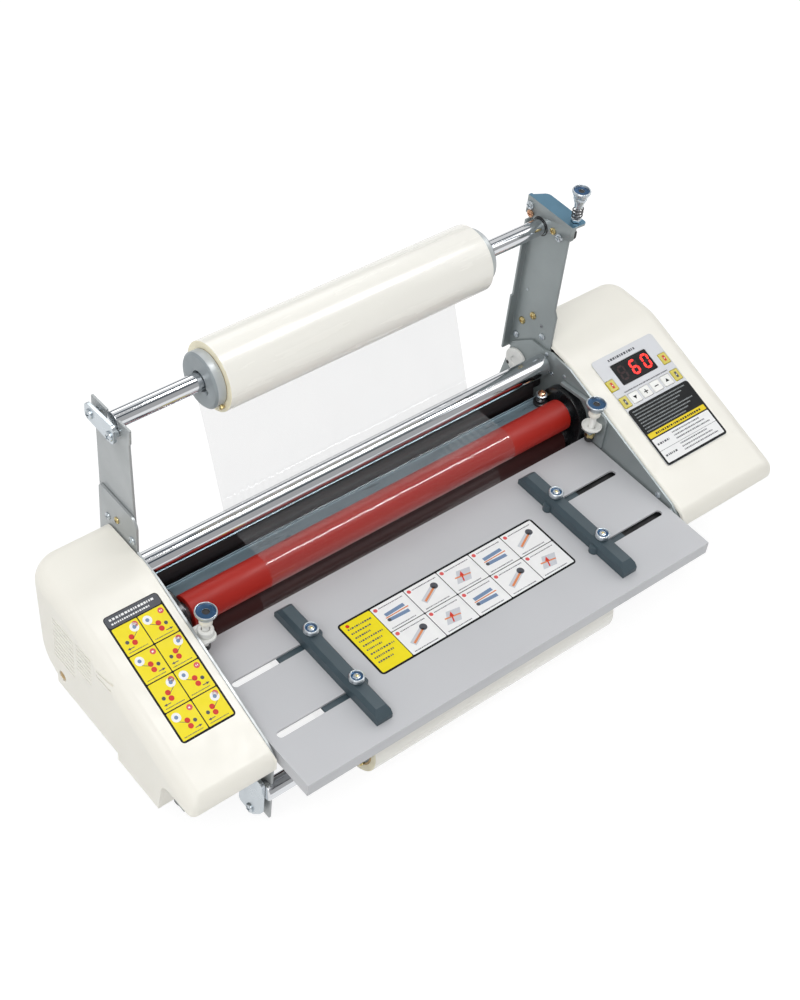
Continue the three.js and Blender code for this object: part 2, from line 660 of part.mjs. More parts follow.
// Bent strip between the two roller pairs, under the laminate; the bearing blocks carry it.
function heatShield() {
  const front = ROLLER.y + ROLLER.radius + 2;
  const back = PULL.y - PULL.radius - 2;
  const top = NIP_Z - FILM - 1;
  const shape = outline([
    [front, top - 16], [front + SHEET, top - 16], [front + SHEET, top - SHEET],
    [back, top - SHEET], [back, top], [front, top],
  ]);
  const end = FRAME_INNER - GAP - BEARING.thickness - GAP;
  return prismX(shape, -end, end);
}

// Grey bar behind the idler that stiffens the frames and parts the film from the works.
function rearBar() {
  const shape = outline([
    [REAR_BAR.y, REAR_BAR.z - REAR_BAR.drop], [REAR_BAR.y + SHEET, REAR_BAR.z - REAR_BAR.drop],
    [REAR_BAR.y + SHEET, REAR_BAR.z], [REAR_BAR.y - REAR_BAR.lip, REAR_BAR.z],
    [REAR_BAR.y - REAR_BAR.lip, REAR_BAR.z - SHEET], [REAR_BAR.y, REAR_BAR.z - SHEET],
  ]);
  const end = FRAME_INNER - GAP;
  return prismX(shape, -end, end);
}

const REAR_BAR = { y: PULL.y + 21.6, z: 10, drop: 6, lip: 8 };

const BEARING = { thickness: 8, radius: 24, centreY: 171 };

// Black block that carries both main roller shafts inside one side frame.
function bearingBlock(side) {
  const near = FRAME_INNER - GAP;
  const far = near - BEARING.thickness;
  const [x0, x1] = side < 0 ? [-near, -far] : [far, near];
  const r = BEARING.radius;
  const top = ROLLER.z + 17;
  const bottom = LOWER_ROLLER_Z - 17;
  const { centreY } = BEARING;
  const body = prismX(
    outline(rectangle(centreY - r, centreY + r, bottom, top), [8, 8, 22, 22]),
    x0, x1,
  );
  return cut(
    body,
    rodX(SHAFT_RADIUS + GAP, x0 - 1, x1 + 1, ROLLER.y, ROLLER.z),
    rodX(SHAFT_RADIUS + GAP, x0 - 1, x1 + 1, ROLLER.y, LOWER_ROLLER_Z),
  );
}

// Bracket inside one frame, with the bore for a pressure knob's stem.
function pressureBracket(side) {
  const far = side * (FRAME_INNER - GAP);
  const near = side * (PRESSURE.x - 7);
  const wall = side * (FRAME_INNER - GAP - SHEET);
  const [x0, x1] = [Math.min(near, far), Math.max(near, far)];
  const shelf = prismZ(
    outline(rectangle(x0, x1, PRESSURE.y - 8, PRESSURE.y + 10), side < 0 ? [0, 6, 6, 0] : [6, 0, 0, 6]),
    PRESSURE_SHELF - SHEET, PRESSURE_SHELF,
  );
  const [wall0, wall1] = [Math.min(wall, far), Math.max(wall, far)];
  const back = box(wall0, wall1, PRESSURE.y - 8, PRESSURE.y + 10, PRESSURE_SHELF - 14, PRESSURE_SHELF);
  return cut(
    joined(shelf, back),
    rodZ(PRESSURE_STEM + GAP, PRESSURE_SHELF - 5, PRESSURE_SHELF + 5, side * PRESSURE.x, PRESSURE.y),
  );
}

const PRESSURE_SHELF = 25;
const PRESSURE_STEM = 3;

function pressureKnob(side) {
  const shelf = PRESSURE_SHELF;
  const profile = [
    [0, PRESSURE.bottom],
    [5, PRESSURE.bottom],
    [5, shelf - SHEET - 2],
    [PRESSURE_STEM, shelf - SHEET - GAP],
    [PRESSURE_STEM, shelf + GAP],
    [6.2, shelf + GAP],
    [6.2, shelf + 7],
    [4.6, shelf + 9],
    [4.6, PRESSURE.top - 7],
    [PRESSURE.radius, PRESSURE.top - 5],
    [PRESSURE.radius, PRESSURE.top - 0.8],
    [PRESSURE.radius - 0.8, PRESSURE.top],
    [3, PRESSURE.top],
    [3, PRESSURE.top - 3],
    [0, PRESSURE.top - 3],
  ];
  return turnedZ(profile, side * PRESSURE.x, PRESSURE.y, 20);
}

function tensionKnob() {
  const seat = CLAMP.top;
  const { bottom, top, radius, stem } = TENSION;
  const tip = TENSION.x - COVER_INNER - SHEET - GAP; // the tip clears the upright's web
  const profile = [
    [0, bottom],
    [tip, bottom],
    [tip, bottom + 8],
    [stem, bottom + 8],
    [stem, seat + GAP],
    [5.5, seat + GAP],
    [5.5, seat + 1.8],
    [stem, seat + 1.8],
    [stem, top - 12],
    [4.2, top - 11],
    [4.6, top - 7],
    [radius, top - 6],
    [radius, top - 0.8],
    [radius - 0.8, top],
    [2.4, top],
    [2.4, top - 3],
    [0, top - 3],
  ];
  return turnedZ(profile, TENSION.x, TENSION.y, 20);
}

// ---------- Rollers ----------
const GEAR = { near: COVER_INNER + 2.6, width: 6, teeth: 14 };
const MAIN_PITCH = ROLLER.radius + NIP / 2;
const PINION = { teeth: 8, y: 147.5 };
const PINION_PITCH = MAIN_PITCH * PINION.teeth / GEAR.teeth;
const PINION_REACH = MAIN_PITCH + PINION_PITCH;
const PINION_Z = LOWER_ROLLER_Z - Math.sqrt(PINION_REACH ** 2 - (ROLLER.y - PINION.y) ** 2);
const PULLEY = { near: GEAR.near + GEAR.width + 2.4, width: 6, mainRadius: 10 };
const PULL_PULLEY_RADIUS = PULLEY.mainRadius * PULL.radius / ROLLER.radius;

// Loose-toothed spur gear about an axis along X, with one tooth pointing along the phase angle.
function gear(teeth, pitch, phase, y, z) {
  const module = 2 * pitch / teeth;
  const step = 2 * Math.PI / teeth;
  const root = pitch - 1.1 * module;
  const tip = pitch + 0.75 * module;
  const points = [];
  for (let i = 0; i < teeth; i += 1) {
    const centre = phase + i * step;
    for (const [radius, share] of [[root, -0.3], [tip, -0.1], [tip, 0.1], [root, 0.3]]) {
      const angle = centre + share * step;
      points.push([y + radius * Math.cos(angle), z + radius * Math.sin(angle)]);
    }
  }
  return prismX(outline(points), GEAR.near, GEAR.near + GEAR.width);
}

function rollerSleeve(z) {
  const bore = SHAFT_RADIUS + GAP;
  const { radius } = ROLLER;
  const end = SLEEVE_HALF_LENGTH;
  return turnedX([[bore, -end], [radius, -end], [radius, end], [bore, end], [bore, -end]], ROLLER.y, z, 36);
}

function mainShaft(z, gearPhase, withPulley) {
  const leftEnd = -FRAME_OUTER - 1;
  const rightEnd = PULLEY.near + PULLEY.width + 1;
  const body = joined(
    rodX(SHAFT_RADIUS, leftEnd, rightEnd, ROLLER.y, z),
    gear(GEAR.teeth, MAIN_PITCH, gearPhase, ROLLER.y, z),
  );
  if (!withPulley) return body;
  return joined(body, rodX(PULLEY.mainRadius, PULLEY.near, PULLEY.near + PULLEY.width, ROLLER.y, z));
}

function pullRoller(z, gearPhase, withPulley) {
  const face = SLEEVE_HALF_LENGTH;
  const neck = FRAME_INNER - GAP;
  const rightEnd = PULLEY.near + PULLEY.width + 1;
  const body = joined(
    turnedX([
      [0, -FRAME_OUTER - 1], [PIVOT_RADIUS, -FRAME_OUTER - 1], [PIVOT_RADIUS, -neck], [6, -neck],
      [6, -face], [PULL.radius, -face], [PULL.radius, face], [6, face], [6, neck], [PIVOT_RADIUS, neck],
      [PIVOT_RADIUS, rightEnd], [0, rightEnd],
    ], PULL.y, z, 28),
    gear(GEAR.teeth, PULL.radius + NIP / 2, gearPhase, PULL.y, z),
  );
  if (!withPulley) return body;
  return joined(body, rodX(PULL_PULLEY_RADIUS, PULLEY.near, PULLEY.near + PULLEY.width, PULL.y, z));
}

function idler({ y, z, radius }) {
  const face = FRAME_INNER - GAP - SHEET - GAP;
  const neck = FRAME_INNER - GAP;
  const end = FRAME_OUTER;
  return turnedX([
    [0, -end], [PIVOT_RADIUS, -end], [PIVOT_RADIUS, -neck], [6, -neck], [6, -face],
    [radius, -face], [radius, face], [6, face], [6, neck], [PIVOT_RADIUS, neck],
    [PIVOT_RADIUS, end], [0, end],
  ], y, z, 28);
}

// Flat belt round the two pulleys, as one loop.
function driveBelt() {
  const loop = (extra) => {
    const hole = extra + PULLEY.mainRadius;
    const [acrossY, acrossZ] = [PULL.y - ROLLER.y, LOWER_PULL_Z - LOWER_ROLLER_Z];
    const along = Math.atan2(acrossZ, acrossY);
    const lean = Math.acos((PULLEY.mainRadius - PULL_PULLEY_RADIUS) / Math.hypot(acrossY, acrossZ));
    const shape = new THREE.Shape();
    shape.absarc(ROLLER.y, LOWER_ROLLER_Z, hole, along + lean, along - lean + 2 * Math.PI, false);
    shape.absarc(PULL.y, LOWER_PULL_Z, extra + PULL_PULLEY_RADIUS, along - lean, along + lean, false);
    shape.closePath();
    return shape;
  };
  const x0 = PULLEY.near + 0.5;
  const x1 = PULLEY.near + PULLEY.width - 0.5;
  return cut(prismX(loop(GAP + 1.2), x0, x1), prismX(loop(GAP), x0 - 1, x1 + 1));
}

// Motor with its gear case; three posts carry the case off the right side frame.
const MOTOR = { caseNear: GEAR.near + GEAR.width + 0.7, caseLength: 14, radius: 17, clearance: 6.7 };

function driveMotor() {
  const { caseNear, caseLength, radius, clearance } = MOTOR;
  const caseEnd = caseNear + caseLength;
  const motorEnd = PAN.right - SHEET - clearance;
  const front = PINION.y - 30;
  const back = PINION.y + 6;
  const top = PINION_Z + 9;
  const bottom = PINION_Z - 27;
  const corners = [[front + 4, top - 4], [front + 4, bottom + 4], [back - 4, bottom + 4]];
  return cut(
    joined(
      prismX(outline([[front, bottom], [back, bottom], [back, top], [front, top]], 4), caseNear, caseEnd),
      rodX(radius, caseEnd - 1, motorEnd, (front + back) / 2, (top + bottom) / 2),
      ...corners.map(([y, z]) => rodX(3, COVER_INNER, caseNear + 1, y, z, 16)),
    ),
    rodX(PINION_SHAFT + GAP, caseNear - 1, caseNear + 8, PINION.y, PINION_Z, 20),
  );
}

const PINION_SHAFT = 3;

function motorPinion() {
  return joined(
    gear(PINION.teeth, PINION_PITCH, PINION_PHASE, PINION.y, PINION_Z),
    rodX(PINION_SHAFT, GEAR.near, MOTOR.caseNear + 7, PINION.y, PINION_Z, 20),
  );
}

// The pinion's gap between teeth faces the tooth that the lower main gear points at it.
const MESH_ANGLE = Math.atan2(PINION_Z - LOWER_ROLLER_Z, PINION.y - ROLLER.y);
const LOWER_MAIN_PHASE = Math.PI / 2;
const PINION_PHASE = pinionPhase();

function pinionPhase() {
  const mainStep = 2 * Math.PI / GEAR.teeth;
  const pinionStep = 2 * Math.PI / PINION.teeth;
  // The tooth fraction past the line of centres.
  const mainOffset = ((MESH_ANGLE - LOWER_MAIN_PHASE) % mainStep) / mainStep;
  return MESH_ANGLE + Math.PI + (0.5 + mainOffset) * pinionStep;
}

// ---------- Film rolls and their chucks ----------
const CHUCK = { length: 9, edge: 1.5, plug: 22 };

// A chuck's profile: flange against the roll's end and plug inside the core.
function chuckBody(supply, end, outward) {
  const at = (distance) => end + outward * distance;
  const plug = CORE_RADIUS - GAP;
  const profile = [
    [0, at(-CHUCK.plug)],
    [plug, at(-CHUCK.plug)],
    [plug, at(GAP)],
    [supply.chuck, at(GAP)],
    [supply.chuck, at(CHUCK.length - CHUCK.edge)],
    [supply.chuck - CHUCK.edge, at(CHUCK.length)],
    [0, at(CHUCK.length)],
  ];
  if (outward < 0) profile.reverse();
  return turnedX(profile, supply.y, supply.z, 28);
}

function supplyShaft(supply, x0, x1) {
  return joined(
    rodX(supply.shaft, x0, x1, supply.y, supply.z),
    chuckBody(supply, supply.left, -1),
    chuckBody(supply, supply.right, 1),
  );
}

function filmRoll({ y, z, roll, left, right }) {
  const bore = CORE_RADIUS;
  return turnedX([[bore, left], [roll, left], [roll, right], [bore, right], [bore, left]], y, z, 36);
}

// ---------- Film webs: thin closed ribbons that follow tangents and arcs ----------
// Angle of the unit normal of a line that touches two circles, each on its + or - side.
function tangentNormal(a, b, sideA, sideB, turn) {
  const distance = Math.hypot(b.y - a.y, b.z - a.z);
  const along = Math.atan2(b.z - a.z, b.y - a.y);
  return along + turn * Math.acos((sideA * a.r - sideB * b.r) / distance);
}

function onCircle({ y, z, r }, angle) {
  return [y + r * Math.cos(angle), z + r * Math.sin(angle)];
}

function arcPoints(circle, from, to) {
  const steps = Math.max(2, Math.ceil(Math.abs(to - from) / WRAP_STEP));
  return Array.from({ length: steps + 1 }, (_, i) => onCircle(circle, from + (to - from) * i / steps));
}

const WRAP_STEP = 0.2;
const FILM_OFFSET = GAP + FILM / 2; // from a roller's face to the middle of the film
const filmCircle = (y, z, radius) => ({ y, z, r: radius + FILM_OFFSET });

// Closes a path into a ribbon of the film's thickness.
function ribbon(path, x0, x1) {
  const shifted = (distance) => path.map(([y, z], i) => {
    const before = path[Math.max(i - 1, 0)];
    const after = path[Math.min(i + 1, path.length - 1)];
    const along = new THREE.Vector2(after[0] - before[0], after[1] - before[1]).normalize();
    return [y - along.y * distance, z + along.x * distance];
  });
  const edge = [...shifted(-FILM / 2), ...shifted(FILM / 2).reverse()];
  return prismX(new THREE.Shape(edge.map(([y, z]) => new THREE.Vector2(y, z))), x0, x1);
}

// Down behind the roll, round the idler from behind, over the main roller and through both nips.
function upperWeb() {
  const roll = filmCircle(UPPER_SUPPLY.y, UPPER_SUPPLY.z, UPPER_SUPPLY.roll);
  const turn = filmCircle(UPPER_IDLER.y, UPPER_IDLER.z, UPPER_IDLER.radius);
  const main = filmCircle(ROLLER.y, ROLLER.z, ROLLER.radius);
  const leave = tangentNormal(roll, turn, 1, 1, 1);
  const cross = tangentNormal(turn, main, 1, -1, 1);
  const path = [
    onCircle(roll, leave),
    ...arcPoints(turn, leave, cross),
    ...arcPoints(main, cross + Math.PI, 1.5 * Math.PI),
    [PULL.y + PULL.radius + 14, NIP_Z],
  ];
  return ribbon(path, UPPER_SUPPLY.left + 1, UPPER_SUPPLY.right - 1);
}

// Back under the lower idler, round it from behind and up round the lower main roller.
function lowerWeb() {
  const roll = filmCircle(LOWER_SUPPLY.y, LOWER_SUPPLY.z, LOWER_SUPPLY.roll);
  const turn = filmCircle(LOWER_IDLER.y, LOWER_IDLER.z, LOWER_IDLER.radius);
  const main = filmCircle(ROLLER.y, LOWER_ROLLER_Z, ROLLER.radius);
  const leave = tangentNormal(roll, turn, 1, 1, -1);
  const cross = tangentNormal(turn, main, 1, -1, -1);
  const path = [
    onCircle(roll, leave),
    ...arcPoints(turn, leave, cross),
    ...arcPoints(main, cross + Math.PI, LOWER_WEB_END),
  ];
  return ribbon(path, LOWER_SUPPLY.left + 1, LOWER_SUPPLY.right - 1);
}

const LOWER_WEB_END = 0.64 * Math.PI; // where the lower film stops, just before the nip

// ---------- Guides and their knobs ----------
const SHAPE_TO_XZ = new THREE.Matrix4().makeBasis(
  new THREE.Vector3(1, 0, 0),
  new THREE.Vector3(0, 0, 1),
  new THREE.Vector3(0, -1, 0),
);

// A prism along Y of an outline drawn in the XZ plane.
function prismY(shape, y0, y1) {
  const geometry = new THREE.ExtrudeGeometry(shape, {
    depth: y1 - y0, bevelEnabled: false, curveSegments: ARC_STEPS,
  });
  return solidOf(geometry.applyMatrix4(SHAPE_TO_XZ).translate(0, y1, 0));
}

function guideBar(side) {
  const { x, width, front, back, height } = GUIDE;
  const middle = side * x;
  const half = width / 2;
  const section = outline([
    [middle - half, GAP], [middle + half, GAP], [middle + half, height - 4],
    [middle + half - 2.5, height], [middle - half + 2.5, height], [middle - half, height - 4],
  ]);
  const profile = outline([
    [front, GAP], [back, GAP], [back, height - 7],
    [back - 6, height], [front + 6, height], [front, height - 7],
  ]);
  const bar = prismY(section, front, back).intersect(prismX(profile, middle - half, middle + half));
  const pinRadius = SLOT.width / 2 - GAP;
  const plateTop = -SHEET - GAP;
  const plateEnds = [side * (x - 6), side * (x + GUIDE_PLATE_REACH)].sort((a, b) => a - b);
  const plate = box(...plateEnds, SLOT.rows[0] - 9, SLOT.rows[1] + 9, plateTop - SHEET, plateTop);
  const pins = SLOT.rows.map((y) => rodZ(pinRadius, plateTop - 1, height - 1, middle, y, 20));
  const studs = SLOT.rows.map((y) => rodZ(STUD_RADIUS, height - 1, height + 5, middle, y, 16));
  const tabs = SLOT.rows.map((y) => rodZ(4, GAP, 7, side * (x - half + 0.5), y, 20));
  return joined(bar, plate, ...pins, ...studs, ...tabs);
}

const STUD_RADIUS = 1.6;

function guideKnob(side, y) {
  const seat = GUIDE.height + GAP;
  const bore = STUD_RADIUS + GAP;
  const profile = [
    [bore, seat],
    [4.5, seat],
    [4.5, seat + 1.4],
    [KNOB_RADIUS, seat + 2],
    [KNOB_RADIUS, seat + 4.8],
    [KNOB_RADIUS - 0.8, seat + 5.6],
    [3.2, seat + 5.6],
    [3.2, seat + 4],
    [bore, seat + 4],
    [bore, seat],
  ];
  return turnedZ(profile, side * GUIDE.x, y, 20);
}

// ---------- Feet ----------
function foot(x, y) {
  const top = PAN_BOTTOM - GAP;
  const { radius } = FOOT;
  const profile = [[0, FLOOR], [radius - 1, FLOOR], [radius, FLOOR + 1.5], [radius, top], [0, top]];
  return turnedZ(profile, x, y, 20);
}

// ---------- Assembly ----------
const SIDES = [['left', -1], ['right', 1]];
const FOOT_INSET = { x: 12, y: 14 };

addPiece('base_pan', basePan(), FRAME_GREY);
addPiece('left_cover', cut(coverShell(LEFT_OUTER, LEFT_EDGE_RADIUS, LEFT_PLAN_RADII), ...louvres()), IVORY);
addPiece('right_cover', rightCover(), IVORY);
addPiece('rear_cover', rearCover(), FRAME_GREY);
addPiece('rear_bar', rearBar(), FRAME_GREY);
addPiece('heat_shield', heatShield(), FRAME_GREY);
addPiece('feed_table', slottedTable(), TABLE_GREY);
addPiece('left_upright', leftUpright(), FRAME_GREY);
addPiece('right_upright', rightUpright(), FRAME_GREY);
addPiece('clamp_bracket', clampBracket(), ZINC);

const uprightOuterFace = -FRAME_INNER + GAP;
const saddleY = UPPER_SUPPLY.y;
addPiece('upper_keeper_plate', keeper(
  uprightOuterFace,
  [[saddleY - 12, 149], [saddleY + 25, 149], [saddleY + 25, 163], [saddleY - 12, 166]],
  [[saddleY - 7, 155], [saddleY + 18.4, 156]],
), ZINC);
addPiece('lower_keeper_plate', keeper(
  -FRAME_OUTER,
  [[37.5, -71], [47, -82.5], [64, -82.5], [64, -36], [37.5, -36]],
  [[50, -77.5], [57, -43]],
), ZINC);

for (const [name, side] of SIDES) {
  addPiece(`${name}_side_frame`, sideFrame(side), FRAME_GREY);
  addPiece(`${name}_bearing_block`, bearingBlock(side), BLACK_PLASTIC);
  addPiece(`${name}_pressure_bracket`, pressureBracket(side), WHITE_PLASTIC);
  addPiece(`${name}_pressure_knob`, pressureKnob(side), ZINC);
  addPiece(`${name}_guide`, guideBar(side), SLATE_PLASTIC);
  const footX = side < 0 ? PAN.left + FOOT_INSET.x : PAN.right - FOOT_INSET.x;
  for (const [place, footY, knobY] of [
    ['front', PAN.front + FOOT_INSET.y, SLOT.rows[0]],
    ['back', PAN.back - FOOT_INSET.y, SLOT.rows[1]],
  ]) {
    addPiece(`${name}_${place}_foot`, foot(footX, footY), BLACK_RUBBER);
    addPiece(`${name}_${place}_guide_knob`, guideKnob(side, knobY), ZINC);
  }
}

addPiece('control_overlay', controlOverlay(), LABEL_GREY);
addPiece('display_board', displayBoard(), BOARD_GREEN);
for (const key of KEYS) addPiece(key[0], keyBody(key), key[4]);
addPiece('power_inlet', powerInlet(), BLACK_PLASTIC);
addPiece('power_switch', rocker(), BLACK_PLASTIC);
addPiece('tension_knob', tensionKnob(), ZINC);

addPiece('drive_motor', driveMotor(), STEEL);
addPiece('motor_pinion', motorPinion(), STEEL);
addPiece('drive_belt', driveBelt(), BLACK_RUBBER);
const halfTooth = Math.PI / GEAR.teeth;
addPiece('upper_roller_sleeve', rollerSleeve(ROLLER.z), RED_SILICONE);
addPiece('lower_roller_sleeve', rollerSleeve(LOWER_ROLLER_Z), RED_SILICONE);
addPiece('upper_roller_shaft', mainShaft(ROLLER.z, -Math.PI / 2 + halfTooth, false), STEEL);
addPiece('lower_roller_shaft', mainShaft(LOWER_ROLLER_Z, LOWER_MAIN_PHASE, true), STEEL);
addPiece('upper_pull_roller', pullRoller(UPPER_PULL_Z, -Math.PI / 2 + halfTooth, false), BLACK_RUBBER);
addPiece('lower_pull_roller', pullRoller(LOWER_PULL_Z, Math.PI / 2, true), BLACK_RUBBER);
addPiece('upper_idler', idler(UPPER_IDLER), CHROME);
addPiece('lower_idler', idler(LOWER_IDLER), CHROME);
addPiece('upper_supply_shaft', supplyShaft(UPPER_SUPPLY, uprightOuterFace, COVER_INNER + 8), CHROME);
addPiece('lower_supply_shaft', supplyShaft(LOWER_SUPPLY, -FRAME_OUTER - KEEPER.gap, FRAME_OUTER + 3), CHROME);
addPiece('upper_film_roll', filmRoll(UPPER_SUPPLY), WHITE_FILM);
addPiece('lower_film_roll', filmRoll(LOWER_SUPPLY), WHITE_FILM);
addPiece('upper_film_web', upperWeb(), CLEAR_FILM);
addPiece('lower_film_web', lowerWeb(), CLEAR_FILM);

// The origin is the middle of the standing object's footprint box, on the surface.
laminator.position.set(-(LEFT_OUTER + RIGHT_OUTER) / 2, -REAR_MOST / 2, TABLE_HEIGHT);

const assembly = new THREE.Group();
assembly.add(laminator);
export default assembly;
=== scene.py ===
# Looks for the desktop roll laminator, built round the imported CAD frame.
# Lengths are written in millimetres from the middle of the feed table's front top edge and turned
# into frame metres by at(): x to the operator's right, y away from the operator, z up.
import json
import math
import random

import bmesh
import bpy
from mathutils import Matrix, Vector

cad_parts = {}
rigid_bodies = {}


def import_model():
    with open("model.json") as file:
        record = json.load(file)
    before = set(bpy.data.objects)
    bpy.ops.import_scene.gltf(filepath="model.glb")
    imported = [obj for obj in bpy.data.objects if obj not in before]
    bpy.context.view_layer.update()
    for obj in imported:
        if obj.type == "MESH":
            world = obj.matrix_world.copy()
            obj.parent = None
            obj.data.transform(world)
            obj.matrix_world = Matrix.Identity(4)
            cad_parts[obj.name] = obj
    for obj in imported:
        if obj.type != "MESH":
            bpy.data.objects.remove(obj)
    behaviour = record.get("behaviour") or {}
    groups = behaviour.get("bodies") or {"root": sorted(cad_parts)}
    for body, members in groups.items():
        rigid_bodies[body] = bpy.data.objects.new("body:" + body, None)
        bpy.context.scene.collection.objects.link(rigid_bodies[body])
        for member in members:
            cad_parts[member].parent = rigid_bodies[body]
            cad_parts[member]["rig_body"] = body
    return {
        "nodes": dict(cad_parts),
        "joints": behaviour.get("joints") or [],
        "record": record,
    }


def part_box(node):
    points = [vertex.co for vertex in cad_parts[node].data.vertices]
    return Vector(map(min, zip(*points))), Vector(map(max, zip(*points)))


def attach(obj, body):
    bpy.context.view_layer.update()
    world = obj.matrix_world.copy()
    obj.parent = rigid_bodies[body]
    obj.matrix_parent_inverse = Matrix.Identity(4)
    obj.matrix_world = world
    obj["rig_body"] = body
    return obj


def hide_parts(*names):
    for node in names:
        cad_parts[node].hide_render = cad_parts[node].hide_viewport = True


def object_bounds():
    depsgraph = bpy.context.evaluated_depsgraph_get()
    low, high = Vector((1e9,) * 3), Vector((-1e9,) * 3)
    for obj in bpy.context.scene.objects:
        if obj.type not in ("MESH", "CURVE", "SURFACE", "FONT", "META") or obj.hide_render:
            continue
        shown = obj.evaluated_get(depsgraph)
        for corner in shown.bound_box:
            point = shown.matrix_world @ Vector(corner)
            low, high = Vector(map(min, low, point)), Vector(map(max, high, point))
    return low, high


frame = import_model()
CAD_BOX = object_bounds()
NODES = frame["nodes"]
JOINTS = {joint["name"]: joint for joint in frame["joints"]}
SLOTS = {part["node"]: part["material_slot"] for part in frame["record"]["subparts"]}
MM = 0.001

TABLE_LOW, TABLE_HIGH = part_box("feed_table")
ORIGIN = Vector(((TABLE_LOW.x + TABLE_HIGH.x) / 2, TABLE_LOW.y, TABLE_HIGH.z))
X_AXIS, Y_AXIS, Z_AXIS = Vector((1, 0, 0)), Vector((0, 1, 0)), Vector((0, 0, 1))
LEFTWARDS, BACKWARDS, UPWARDS = (-1, 0, 0), (0, 1, 0), (0, 0, 1)


def at(x, y, z):
    return ORIGIN + Vector((x, y, z)) * MM


def local(point):
    """A frame point in the script's millimetres."""
    return (Vector(point) - ORIGIN) / MM


def node_box(node):
    low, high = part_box(node)
    return local(low), local(high)


def axis_of(joint):
    """Y and Z of a spin axis, in millimetres."""
    spot = local(JOINTS[joint]["pos_m"])
    return spot.y, spot.z


def upright_of(node):
    """Middle, lower end, upper end and radius of a round node that stands upright."""
    low, high = node_box(node)
    return (low.x + high.x) / 2, (low.y + high.y) / 2, low.z, high.z, (high.x - low.x) / 2


# ---------- Driving dimensions, from the frame ----------
LEFT_LOW, LEFT_HIGH = node_box("left_cover")
RIGHT_LOW, RIGHT_HIGH = node_box("right_cover")
COVER_INNER, COVER_FRONT, COVER_BACK, COVER_TOP = RIGHT_LOW.x, LEFT_LOW.y, LEFT_HIGH.y, LEFT_HIGH.z
FRAME_INNER, FRAME_OUTER = (corner.x for corner in node_box("right_side_frame"))
SLOPE = 0.344  # rise of the covers' slope for each millimetre back
SLOPE_ANGLE = math.atan(SLOPE)
SLOPE_START = -11  # height of the slope's plane at y = 0
SLOPE_FOOT = Vector((0, 0, SLOPE_START))
SLOPE_UP = Vector((0, math.cos(SLOPE_ANGLE), math.sin(SLOPE_ANGLE)))
SLOPE_OUT = Vector((0, -math.sin(SLOPE_ANGLE), math.cos(SLOPE_ANGLE)))
SHELL = 3  # wall of the covers
GAP = 0.3  # clearance between pieces


# ---------- Materials ----------
def colour(red, green, blue):
    """A linear colour from its 0 to 255 display values."""
    def linear(value):
        share = value / 255
        return share / 12.92 if share <= 0.04045 else ((share + 0.055) / 1.055) ** 2.4
    return (linear(red), linear(green), linear(blue), 1)


def shaded(rgba, factor):
    return tuple(min(1, channel * factor) for channel in rgba[:3]) + (1,)


def set_inputs(node, **values):
    """Sets inputs of a shader node. An underscore stands for a space in an input's name."""
    for name, value in values.items():
        node.inputs[name.replace("_", " ")].default_value = value
    return node


def new_node(nodes, kind, **values):
    return set_inputs(nodes.new("ShaderNode" + kind), **values)


def show_mix(nodes, links, share, first, second, output="Material Output"):
    """Shows the first shader, and the second one by its share."""
    mix = new_node(nodes, "MixShader")
    links.new(share, mix.inputs["Fac"])
    links.new(first.outputs[0], mix.inputs[1])
    links.new(second.outputs[0], mix.inputs[2])
    links.new(mix.outputs[0], nodes[output].inputs["Surface"])


class Surface:
    """A Principled material whose colour, roughness and relief come from procedural nodes."""

    def __init__(self, name, rgb, roughness, metallic=0, stretch=(1, 1, 1)):
        self.material = bpy.data.materials.new(name)
        self.material.use_nodes = True
        self.nodes = self.material.node_tree.nodes
        self.links = self.material.node_tree.links
        self.shader = self.nodes["Principled BSDF"]
        self.rgba = colour(*rgb)
        self.set(Base_Color=self.rgba, Roughness=roughness, Metallic=metallic)
        coordinates = new_node(self.nodes, "TexCoord")
        mapping = new_node(self.nodes, "Mapping", Scale=stretch)
        self.links.new(coordinates.outputs["Object"], mapping.inputs["Vector"])
        self.place = mapping.outputs["Vector"]
        self.height = None

    def set(self, **values):
        set_inputs(self.shader, **values)
        return self

    def noise(self, scale, detail=3):
        node = new_node(self.nodes, "TexNoise", Scale=scale, Detail=detail, Roughness=0.55)
        self.links.new(self.place, node.inputs["Vector"])
        return node.outputs["Fac"]

    def spread(self, source, low, high, from_low=0.35, from_high=0.65):
        """The source's values from one range, brought to another."""
        ends = {"From_Min": from_low, "From_Max": from_high, "To_Min": low, "To_Max": high}
        node = new_node(self.nodes, "MapRange", **ends)
        self.links.new(source, node.inputs["Value"])
        return node.outputs["Result"]

    def mottle(self, scale, amount):
        """Slow drift of the colour between a darker and a lighter shade."""
        ramp = new_node(self.nodes, "ValToRGB")
        darker, lighter = ramp.color_ramp.elements
        darker.position, darker.color = 0.3, shaded(self.rgba, 1 - amount)
        lighter.position, lighter.color = 0.7, shaded(self.rgba, 1 + amount)
        self.links.new(self.noise(scale), ramp.inputs["Fac"])
        self.links.new(ramp.outputs["Color"], self.shader.inputs["Base Color"])
        return self

    def polish(self, scale, low, high):
        """Roughness that drifts between two values."""
        self.links.new(self.spread(self.noise(scale, 4), low, high), self.shader.inputs["Roughness"])
        return self

    def relief(self, source, strength, distance):
        """Adds a bump over those that the surface has."""
        bump = new_node(self.nodes, "Bump", Strength=strength, Distance=distance * MM)
        self.links.new(source, bump.inputs["Height"])
        if self.height is not None:
            self.links.new(self.height, bump.inputs["Normal"])
        self.height = bump.outputs["Normal"]
        self.links.new(self.height, self.shader.inputs["Normal"])
        return self

    def grain(self, scale, strength, distance):
        return self.relief(self.noise(scale, 2), strength, distance)


